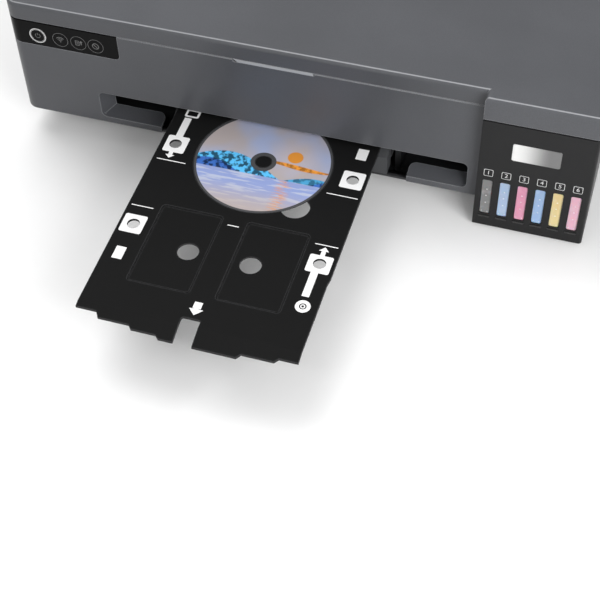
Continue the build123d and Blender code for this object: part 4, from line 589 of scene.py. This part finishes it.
def board_mask():
    """Circuit board: green mask over tracks in two directions, black chips in front and a bright port behind."""
    material, tree, shader = surface("circuit board", Coat_Weight=0.4)
    place = object_place(tree)
    upright = node(tree, "ShaderNodeVectorRotate", {"Vector": place, "Angle": math.pi / 2}, rotation_type="X_AXIS")
    bricks = node(tree, "ShaderNodeTexBrick", {
        "Vector": upright.outputs[0], "Scale": 110.0, "Mortar Size": 0.035, "Color1": (0.015, 0.11, 0.045, 1),
        "Color2": (0.02, 0.15, 0.06, 1), "Mortar": (0.09, 0.3, 0.1, 1)})
    depth = axis_of(tree, place, "Y")
    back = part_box("main_board")[1].y
    port = calc(tree, "GREATER_THAN", depth, back - PORT_DEPTH * MM)
    chip = calc(tree, "LESS_THAN", depth, back - BOARD_DEPTH * MM)
    with_port = blend(tree, port, bricks.outputs["Color"], (0.34, 0.345, 0.355, 1.0))
    tree.links.new(blend(tree, chip, with_port, (0.012, 0.012, 0.013, 1.0)), shader.inputs["Base Color"])
    tree.links.new(calc(tree, "MULTIPLY_ADD", bricks.outputs["Fac"], 0.15, 0.32), shader.inputs["Roughness"])
    return material


def seen_directly(tree):
    """1 for rays from the camera or through gloss or glass, and 0 for the light that falls on other pieces."""
    rays = tree.nodes.new("ShaderNodeLightPath")
    gloss_or_glass = calc(tree, "MAXIMUM", rays.outputs["Is Glossy Ray"], rays.outputs["Is Transmission Ray"])
    return calc(tree, "MAXIMUM", rays.outputs["Is Camera Ray"], gloss_or_glass)


def studio(world, look):
    """Room: even light, seen directly as white walls that a reflection finds darker towards the ceiling."""
    world.use_nodes = True
    tree = world.node_tree
    room = tree.nodes["Background"]
    room.inputs["Color"].default_value = (1, 1, 1, 1)
    room.inputs["Strength"].default_value = look.room
    rays = tree.nodes.new("ShaderNodeLightPath")
    height = axis_of(tree, tree.nodes.new("ShaderNodeTexCoord").outputs["Generated"], "Z")
    reflected = inverse(tree, rays.outputs["Is Camera Ray"])
    ceiling = calc(tree, "MULTIPLY", ramp(tree, height, 0.1, 0.6), reflected)
    wall = blend(tree, ceiling, (1, 1, 1, 1), opaque((look.ceiling,) * 3))
    seen = node(tree, "ShaderNodeBackground", {"Color": wall, "Strength": 1.0})
    mixed = node(tree, "ShaderNodeMixShader", {0: seen_directly(tree), 1: room.outputs[0], 2: seen.outputs[0]})
    tree.links.new(mixed.outputs[0], tree.nodes["World Output"].inputs["Surface"])


def table_top(look):
    """Pale table: a calm tone for the light, and for the camera a paper white that keeps a soft shadow."""
    material, tree, shader = surface("pale table", Roughness=0.7, Specular_IOR_Level=0.1)
    place = object_place(tree)
    direct = seen_directly(tree)
    paper = blend(tree, noise(tree, place, 60.0, 2.0), shade(look.table, 0.99), shade(look.table, 1.01))
    tree.links.new(blend(tree, direct, opaque(look.bounce), paper), shader.inputs["Base Color"])
    glow = node(tree, "ShaderNodeEmission", {"Color": (1, 1, 1, 1), "Strength": 1.0})
    away = node(tree, "ShaderNodeVectorMath", {0: place}, operation="LENGTH").outputs["Value"]
    far = calc(tree, "MULTIPLY", ramp(tree, away, 0.7, 1.8), 1.0 - look.shadow_lift)
    share = calc(tree, "MULTIPLY", direct, calc(tree, "ADD", far, look.shadow_lift))
    mixed = node(tree, "ShaderNodeMixShader", {0: share, 1: shader.outputs[0], 2: glow.outputs[0]})
    tree.links.new(mixed.outputs[0], tree.nodes["Material Output"].inputs["Surface"])
    return material


def dress(names, material):
    """Give frame parts this material."""
    for name in names:
        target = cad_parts[name]
        target.data.materials.clear()
        target.data.materials.append(material)


# Settings

def tint(name, description, default):
    """Setting of a colour."""
    return FloatVectorProperty(name=name, description=description, subtype="COLOR", default=default)


def power(name, description, default):
    """Setting of a lamp's power."""
    return FloatProperty(name=name, description=description, unit="POWER", default=default)


class CasingLook(bpy.types.PropertyGroup):
    """Colours of the casing and of what shows inside it."""
    casing: tint("Casing", "Grained casing and lid", (0.087, 0.09, 0.099))
    # The pan is darker than the casing as painted shade in the undercut at the casing's foot.
    lower: tint("Pan", "Pan below the casing", (0.03, 0.031, 0.033))
    # The grip is casing plastic on an upward slope; its pale colour is a painted highlight.
    grip: tint("Grip", "Pale finger strip of the lid", (0.42, 0.43, 0.45))
    panel: tint("Panel", "Gloss control panel", (0.007, 0.007, 0.0072))
    tank: tint("Tank Front", "Satin front of the tanks", (0.015, 0.015, 0.0155))
    tray: tint("Disc Tray", "Disc tray", (0.005, 0.005, 0.0051))


class MarkLook(bpy.types.PropertyGroup):
    """Sizes and colours of the printed marks."""
    ink: tint("White Ink", "Printed marks", (0.86, 0.86, 0.86))
    dim: tint("Grey Ink", "Unlit rings and button signs", (0.22, 0.22, 0.22))
    height: FloatProperty(name="Height", description="Height of printed ink", default=0.06 * MM, unit="LENGTH")
    line: FloatProperty(name="Line", description="Width of the fine lines", default=0.9 * MM, unit="LENGTH")


class DiscLook(bpy.types.PropertyGroup):
    """Colours of the print on the disc."""
    sky: tint("Sky", "Cool part of the mist", (0.36, 0.42, 0.62))
    haze: tint("Haze", "Warm part of the mist", (0.46, 0.37, 0.3))
    glow: tint("Glow", "Light round the sun", (0.62, 0.47, 0.36))
    sun: tint("Sun", "Sun and its path", (0.72, 0.28, 0.04))
    far_hill: tint("Far Hill", "Far hills", (0.05, 0.24, 0.42))
    near_hill: tint("Near Hill", "Near hills", (0.015, 0.05, 0.17))
    water: tint("Water", "Water", (0.27, 0.34, 0.62))
    ripple: tint("Ripple", "Light on the water", (0.45, 0.5, 0.66))
    bare: tint("Bare Rim", "Unprinted rim and hub", (0.065, 0.066, 0.07))


class InkLook(bpy.types.PropertyGroup):
    """Colours of the inks seen through the tank windows."""
    grey: tint("First Ink", "Ink of the first tank", (0.23, 0.23, 0.23))
    light_cyan: tint("Second Ink", "Ink of the second tank", (0.46, 0.6, 0.83))
    magenta: tint("Third Ink", "Ink of the third tank", (0.87, 0.34, 0.5))
    cyan: tint("Fourth Ink", "Ink of the fourth tank", (0.36, 0.53, 0.83))
    yellow: tint("Fifth Ink", "Ink of the fifth tank", (0.89, 0.7, 0.33))
    light_magenta: tint("Sixth Ink", "Ink of the sixth tank", (0.9, 0.5, 0.62))


class StageLook(bpy.types.PropertyGroup):
    """Table, lamps and room light."""
    table: tint("Table", "Table top as seen", (0.92, 0.92, 0.92))
    bounce: tint("Table Bounce", "Table top as it lights other pieces", (0.1, 0.1, 0.1))
    shadow_lift: FloatProperty(name="Shadow Lift", description="Share of plain white in the seen table",
                               default=0.06, min=0.0, max=1.0, subtype="FACTOR")
    room: FloatProperty(name="Room Light", description="Strength of the even room light", default=0.44)
    ceiling: FloatProperty(name="Ceiling", description="Tone of the ceiling in reflections", default=0.35,
                           subtype="FACTOR")
    key: power("Key Lamp", "Power of the large lamp at the left rear", 25.0)
    front: power("Front Lamp", "Power of the lamp at the right front", 12.0)
    strip: power("Strip Lamp", "Power of the long thin lamp in front", 3.0)


def settings():
    """The settings kept on the scene."""
    return bpy.context.scene.printer_look


class PrinterLook(bpy.types.PropertyGroup):
    """All the settings of the dressing."""
    casing: PointerProperty(type=CasingLook)
    marks: PointerProperty(type=MarkLook)
    disc: PointerProperty(type=DiscLook)
    inks: PointerProperty(type=InkLook)
    stage: PointerProperty(type=StageLook)


# Operators

class PRINTER_OT_stage(bpy.types.Operator):
    """Set the table, the lamps, the room light and the camera"""
    bl_idname = "printer.stage"
    bl_label = "Stage"

    def execute(self, context):
        look = settings().stage
        mesh = bpy.data.meshes.new("table")
        corners = [(x * TABLE_HALF, y * TABLE_HALF, 0.0) for x, y in ((-1, -1), (1, -1), (1, 1), (-1, 1))]
        mesh.from_pydata(corners, [], [(0, 1, 2, 3)])
        table = bpy.data.objects.new("table", mesh)
        context.scene.collection.objects.link(table)
        mesh.materials.append(table_top(look))
        world = bpy.data.worlds.new("room")
        studio(world, look)
        context.scene.world = world
        for name, setting, size, place, aim in LAMPS:
            lamp = bpy.data.lights.new(name, "AREA")
            lamp.shape = "RECTANGLE"
            lamp.energy = getattr(look, setting)
            lamp.size, lamp.size_y = size
            held = bpy.data.objects.new(name, lamp)
            held.location = place
            held.rotation_euler = (Vector(aim) - Vector(place)).to_track_quat("-Z", "Y").to_euler()
            held.visible_camera = False
            held.visible_glossy = name == GLOSSY_LAMP
            context.scene.collection.objects.link(held)
        lens = bpy.data.cameras.new("camera")
        lens.lens = CAMERA_LENS
        lens.sensor_width = SENSOR_WIDTH
        lens.clip_start, lens.clip_end = CAMERA_CLIP
        camera = bpy.data.objects.new("camera", lens)
        right, up = Vector(CAMERA_RIGHT), Vector(CAMERA_UP)
        turned = Matrix((right, up, right.cross(up))).transposed().to_4x4()
        camera.matrix_world = Matrix.Translation(CAMERA_PLACE) @ turned
        context.scene.collection.objects.link(camera)
        context.scene.camera = camera
        context.scene.view_settings.view_transform = "Standard"
        return {"FINISHED"}


class PRINTER_OT_casing(bpy.types.Operator):
    """Finish the casing, the lid, the pan, the panel and the tank front"""
    bl_idname = "printer.casing"
    bl_label = "Casing"

    def execute(self, context):
        look = settings().casing
        # Its edges and the lid's rounded front edge get a painted highlight.
        grained = moulded("grained casing", look.casing, spread=0.1, grain=1400.0, depth=0.12, rough=0.38, edge=0.7,
                          painted_highlight=0.5)
        dress(("front_cover", "left_cover", "right_cover", "rear_cover", "top_frame", "lid", "feeder_guard"), grained)
        piece("rear_wall_top_strip", rear_strip(), in_frame, "housing", grained)
        # The pan's dark colour is painted shade for the undercut at the casing's foot.
        dress(("base_case",), moulded("dark pan", look.lower, rough=0.55))
        # The grip's pale colour is a painted highlight on an upward slope of casing plastic.
        dress(("lid_grip",), moulded("pale grip", look.grip, spread=0.04, rough=0.35))
        dress(("control_panel",), moulded("gloss panel", look.panel, grain=500.0, depth=0.01, rough=0.16,
                                          Specular_IOR_Level=0.06))
        dress(("tank_cover",), moulded("satin tank front", look.tank, grain=1100.0, depth=0.1, rough=0.38,
                                       Specular_IOR_Level=0.2))
        dress(BUTTONS, moulded("satin buttons", look.panel, grain=700.0, depth=0.02, rough=0.22,
                               Specular_IOR_Level=0.06))
        dress(("rubber_feet",), moulded("foot rubber", (0.02, 0.02, 0.02), grain=900.0, depth=0.3, rough=0.8))
        dress(("case_screws",), metal("black screws", (0.06, 0.06, 0.06), (200.0, 200.0, 200.0), rough=0.4))
        return {"FINISHED"}


class PRINTER_OT_trays(bpy.types.Operator):
    """Finish the disc tray, the disc, the output tray and the rear feeder"""
    bl_idname = "printer.trays"
    bl_label = "Trays"

    def execute(self, context):
        look = settings()
        # The tray's edges get a faint painted highlight.
        dress(("disc_tray",), moulded("tray black", look.casing.tray, grain=1600.0, depth=0.18, rough=0.55, edge=0.3,
                                      painted_highlight=0.08, Specular_IOR_Level=0.32))
        dress(("disc",), disc_print(look.disc))
        dress(("output_tray_front", "output_tray_middle", "output_tray_rear"),
              moulded("output tray grey", (0.06, 0.062, 0.066), rough=0.5))
        dress(("feeder_frame",), moulded("feeder black", (0.03, 0.03, 0.032), rough=0.55))
        dress(("paper_support", "paper_support_extension", "left_edge_guide", "right_edge_guide"),
              moulded("feeder grey", (0.09, 0.093, 0.1), rough=0.5))
        return {"FINISHED"}


class PRINTER_OT_mechanism(bpy.types.Operator):
    """Finish the frame, the rollers, the gears, the carriage and the electrics"""
    bl_idname = "printer.mechanism"
    bl_label = "Mechanism"

    def execute(self, context):
        dress(("metal_frame",), metal("zinc sheet", (0.62, 0.63, 0.62), (30.0, 900.0, 500.0), rough=0.42))
        dress(("carriage_shaft", "feed_roller"),
              metal("ground steel", (0.7, 0.7, 0.7), (2500.0, 40.0, 40.0), rough=0.22))
        dress(("carriage_motor", "feed_motor"),
              metal("motor can", (0.5, 0.5, 0.48), (300.0, 300.0, 300.0), rough=0.4))
        dress(("timing_belt", "exit_roller", "pinch_rollers", "pickup_roller"),
              moulded("ground rubber", (0.035, 0.035, 0.036), grain=1900.0, depth=0.4, rough=0.75))
        dress(("platen", "star_wheel_holder", "capping_station", "carriage"),
              moulded("inner black", (0.022, 0.022, 0.024), grain=900.0, depth=0.15, rough=0.45))
        dress(("print_head",), metal("head steel", (0.4, 0.39, 0.38), (400.0, 60.0, 400.0), rough=0.3))
        dress(("idler_gear", "motor_pinion", "motor_pulley", "idler_pulley"),
              moulded("gear nylon", (0.62, 0.61, 0.56), spread=0.04, grain=600.0, depth=0.05, rough=0.38))
        dress(("power_supply",), moulded("supply case", (0.02, 0.02, 0.02), grain=1000.0, depth=0.2, rough=0.5))
        dress(("main_board",), board_mask())
        dress(("ink_tubes",), moulded("clear tubes", (0.5, 0.5, 0.48), spread=0.15, grain=260.0, depth=0.1, rough=0.2,
                                      Coat_Weight=0.3))
        return {"FINISHED"}


def number_mesh(context, text, x):
    """Mesh of a number printed on the tank cover, centred at x in mm."""
    letter = bpy.data.curves.new("number", "FONT")
    letter.body = text
    letter.size = NUMBER_SIZE
    letter.extrude = NUMBER_H
    letter.align_x = "CENTER"
    letter.align_y = "CENTER"
    holder = bpy.data.objects.new("number", letter)
    context.scene.collection.objects.link(holder)
    context.view_layer.update()
    mesh = bpy.data.meshes.new_from_object(holder.evaluated_get(context.evaluated_depsgraph_get()))
    bpy.data.objects.remove(holder)
    mesh.transform(Matrix(((MM, 0, 0, x * MM), (0, 0, -MM, TANK_FACE_Y), (0, MM, 0, NUMBER_Z * MM), (0, 0, 0, 1))))
    mesh.materials.clear()
    return mesh


class PRINTER_OT_tanks(bpy.types.Operator):
    """Finish the ink tanks and add their specks, numbers, ledges and the bare badge"""
    bl_idname = "printer.tanks"
    bl_label = "Ink Tanks"

    def execute(self, context):
        look = settings()
        white = ink_of("white ink", look.marks.ink)
        ledge = moulded("ledge black", (0.008, 0.008, 0.008), rough=0.25, depth=0.03)
        rubber = moulded("cap rubber", (0.03, 0.03, 0.032), grain=1300.0, depth=0.3, rough=0.7)
        front = on_front(TANK_FACE_Y)
        for index, colour in enumerate(TANK_COLOURS):
            node_name = "ink_tank_" + colour
            low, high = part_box(node_name)
            ink = getattr(look.inks, colour)
            dress((node_name,), ink_window("ink " + colour.replace("_", " "), ink, *(z * MM for z in INK_FADE_Z)))
            dress(("filler_cap_" + colour,), rubber)
            x = (low.x + high.x) / 2 / MM
            pale = moulded("speck " + colour, tuple(0.5 * c + 0.48 for c in ink), spread=0.02, rough=0.3, depth=0.02)
            dots = [dome(x + dx, z, size, SPECK_H) for dx, z, size in SPECKS]
            piece("specks_" + colour, joined(dots), on_front(low.y), "housing", pale, smooth=True)
            box_outer = rounded(x - BOX_HALF_W, x + BOX_HALF_W, *BOX_Z, BOX_OUTER_R)
            box_inner = rounded(x - BOX_HALF_W + BOX_LINE, x + BOX_HALF_W - BOX_LINE,
                                BOX_Z[0] + BOX_LINE, BOX_Z[1] - BOX_LINE, BOX_INNER_R)
            box = plate(box_outer, INK_H, hole=box_inner)
            piece("number_box_" + colour, box, front, "housing", white)
            mesh = number_mesh(context, str(index + 1), x)
            mesh.materials.append(white)
            number = bpy.data.objects.new("number_" + colour, mesh)
            context.scene.collection.objects.link(number)
            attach(number, "housing")
            sill = plate(rounded(x - SILL_HALF_W, x + SILL_HALF_W, *SILL_Z, SILL_R), SILL_H)
            piece("window_sill_" + colour, sill, front, "housing", ledge, smooth=True)
        badge = plate(rounded(*BADGE_X, *BADGE_Z, BADGE_R), BADGE_H, soft=BADGE_H)
        # The badge's metal carries a painted reflection, bright at the left and grey at the right.
        bare = badge_metal(*(x * MM for x in BADGE_REFLECTION_X))
        piece("bare_badge", badge, front, "housing", bare)
        return {"FINISHED"}


def power_sign(x, z):
    """Sign of a broken ring with a stroke through its gap."""
    stroke = [(x, z + 0.6), (x, z + 3.0)]
    return [ribbon(arc(x, z, 2.3, 125, 415, 28), 0.45, SIGN_H), ribbon(stroke, 0.45, SIGN_H)]


def network_sign(x, z):
    """Sign of three waves over a dot."""
    foot = z - 2.2
    waves = [ribbon(arc(x, foot, radius, 45, 135), 0.55, SIGN_H) for radius in (1.8, 3.3, 4.8)]
    return waves + [plate(circle(x, foot, 0.55, 16), SIGN_H)]


def sheet_sign(x, z):
    """Sign of a written sheet beside an arrow that points up."""
    inner = rounded(x - 2.5, x + 0.5, z - 2.1, z + 2.1, 0.3)
    sheet = plate(rounded(x - 3.0, x + 1.0, z - 2.6, z + 2.6, 0.6), SIGN_H, hole=inner)
    text = [ribbon([(x - 2.0, z + rise), (x, z + rise)], 0.35, SIGN_H) for rise in (-0.9, 0.1, 1.1)]
    return [sheet] + text + [plate(arrow((x + 2.6, z + 2.9), z + 1.2, 1.4, 0.5, z - 1.6), SIGN_H)]


def cancel_sign(x, z):
    """Sign of a ring with a bar across it, which lies a little lower than the ring."""
    ring = plate(circle(x, z, 3.2, 40), SIGN_H, hole=circle(x, z, 2.6, 40))
    return [ring, ribbon([(x - 1.7, z + 1.7), (x + 1.7, z - 1.7)], 0.6, 0.9 * SIGN_H)]


SIGNS = {"power_button": power_sign, "network_button": network_sign, "sheet_button": sheet_sign,
         "cancel_button": cancel_sign}


class PRINTER_OT_panel_marks(bpy.types.Operator):
    """Add the button rings and the signs on the buttons"""
    bl_idname = "printer.panel_marks"
    bl_label = "Panel Marks"

    def execute(self, context):
        look = settings().marks
        white = ink_of("white ink", look.ink)
        grey = ink_of("grey ink", look.dim)
        front = on_front(FRONT_Y)
        for name in BUTTONS:
            centre = middle(name)
            x, z = centre.x / MM, centre.z / MM
            lit = name == "power_button"
            ring = plate(circle(x, z, LIT_RING_OUTER_R if lit else RING_OUTER_R), INK_H,
                         hole=circle(x, z, RING_INNER_R))
            piece(name + "_ring", ring, front, "housing", white if lit else grey)
            if lit:
                edge = plate(circle(x, z, LIT_EDGE_OUTER_R), SIGN_H, hole=circle(x, z, LIT_EDGE_INNER_R))
                piece(name + "_lit_edge", edge, front, name, white)
            piece(name + "_sign", joined(SIGNS[name](x, z)), front, name, grey)
        return {"FINISHED"}


class PRINTER_OT_tray_marks(bpy.types.Operator):
    """Add the white marks on the disc tray"""
    bl_idname = "printer.tray_marks"
    bl_label = "Tray Marks"

    def execute(self, context):
        look = settings().marks
        white = ink_of("white ink", look.ink)
        ink = look.height / MM
        line = look.line / MM

        def add(name, *shapes):
            """Put one mark on the tray."""
            piece(name, joined(shapes), on_tray, "disc_tray", white)

        def mark(outline, height=ink, hole=None):
            """Flat mark, sunk a little into the tray."""
            return plate(outline, height, hole=hole, sink=MARK_SINK)

        def bar(x0, x1, y0, y1, height=ink):
            """Filled bar."""
            return mark(rounded(x0, x1, y0, y1, BAR_R), height)

        def target(x0, x1, y0, y1, x, y):
            """Square mark with a round hole at (x, y)."""
            outer = even(rounded(x0, x1, y0, y1, TARGET_R), 96)
            turn = np.arctan2(outer[:, 1] - y, outer[:, 0] - x)
            hole = np.stack([x + TARGET_HOLE_R * np.cos(turn), y + TARGET_HOLE_R * np.sin(turn)], axis=-1)
            return mark(outer, ink * 1.2, hole)

        add("target_front_left", target(-105.8, -86.5, -138.5, -118.3, -95.9, -128.3))
        add("target_rear_left", target(-104.0, -84.5, -40.5, -20.5, -95.0, -30.1))
        add("target_rear_right", target(55.7, 75.2, -41.5, -21.5, 65.4, -31.1))
        add("target_front_right", target(54.8, 74.7, -138.5, -119.8, 64.8, -128.6))
        add("arrow_front", mark(arrow((-15.0, -206.4), -200.2, 6.0, 3.4, -193.0)))
        add("arrow_rear_left", mark(arrow((-95.0, -47.9), -44.0, 4.2, 1.9, -40.5)))
        add("arrow_front_right", mark(arrow((64.6, -110.4), -115.0, 4.2, 1.9, -119.8)))
        add("bar_rear_left", bar(-98.3, -91.8, -20.5, 3.4, ink * 0.8))
        add("bar_front_right", bar(60.4, 66.6, -164.5, -138.5, ink * 0.8))
        sheet = rounded(-99.5, -86.5, 4.8, 14.4, 1.8)
        add("sheet_sign", mark(sheet, hole=rounded(-97.6, -88.4, 6.6, 12.6, 1.0)))
        add("patch_left", bar(-99.9, -91.3, -167.9, -154.6))
        add("patch_right", bar(60.6, 69.9, -6.2, 7.1))
        centre = (64.6, -174.6)
        ring = mark(circle(*centre, 6.25), hole=circle(*centre, 3.05))
        spot = mark(circle(*centre, 2.1), hole=circle(*centre, 1.1))
        add("disc_sign", ring, spot)
        for number, (x0, x1, y) in enumerate(FINE_LINES):
            add(f"fine_line_{number}", ribbon([(x0, y), (x1, y)], line, ink, sink=MARK_SINK))
        return {"FINISHED"}


class PRINTER_PT_dressing(bpy.types.Panel):
    """Sidebar panel that lists the steps of the dressing"""
    bl_idname = "PRINTER_PT_dressing"
    bl_label = "Photo Printer"
    bl_space_type = "VIEW_3D"
    bl_region_type = "UI"
    bl_category = "Printer"

    def draw(self, context):
        for step in STEPS:
            self.layout.operator(step.bl_idname)


STEPS = (PRINTER_OT_stage, PRINTER_OT_casing, PRINTER_OT_trays, PRINTER_OT_mechanism, PRINTER_OT_tanks,
         PRINTER_OT_panel_marks, PRINTER_OT_tray_marks)
CLASSES = (CasingLook, MarkLook, DiscLook, InkLook, StageLook, PrinterLook, *STEPS, PRINTER_PT_dressing)


def register():
    """Register the classes and put the settings on the scene."""
    for kind in CLASSES:
        bpy.utils.register_class(kind)
    bpy.types.Scene.printer_look = PointerProperty(type=PrinterLook)


def unregister():
    """Take the settings and the classes away again."""
    del bpy.types.Scene.printer_look
    for kind in reversed(CLASSES):
        bpy.utils.unregister_class(kind)


def main():
    """Run every step in order."""
    register()
    for step in STEPS:
        name = step.bl_idname.split(".")[1]
        getattr(bpy.ops.printer, name)()


if __name__ == "__main__":
    main()
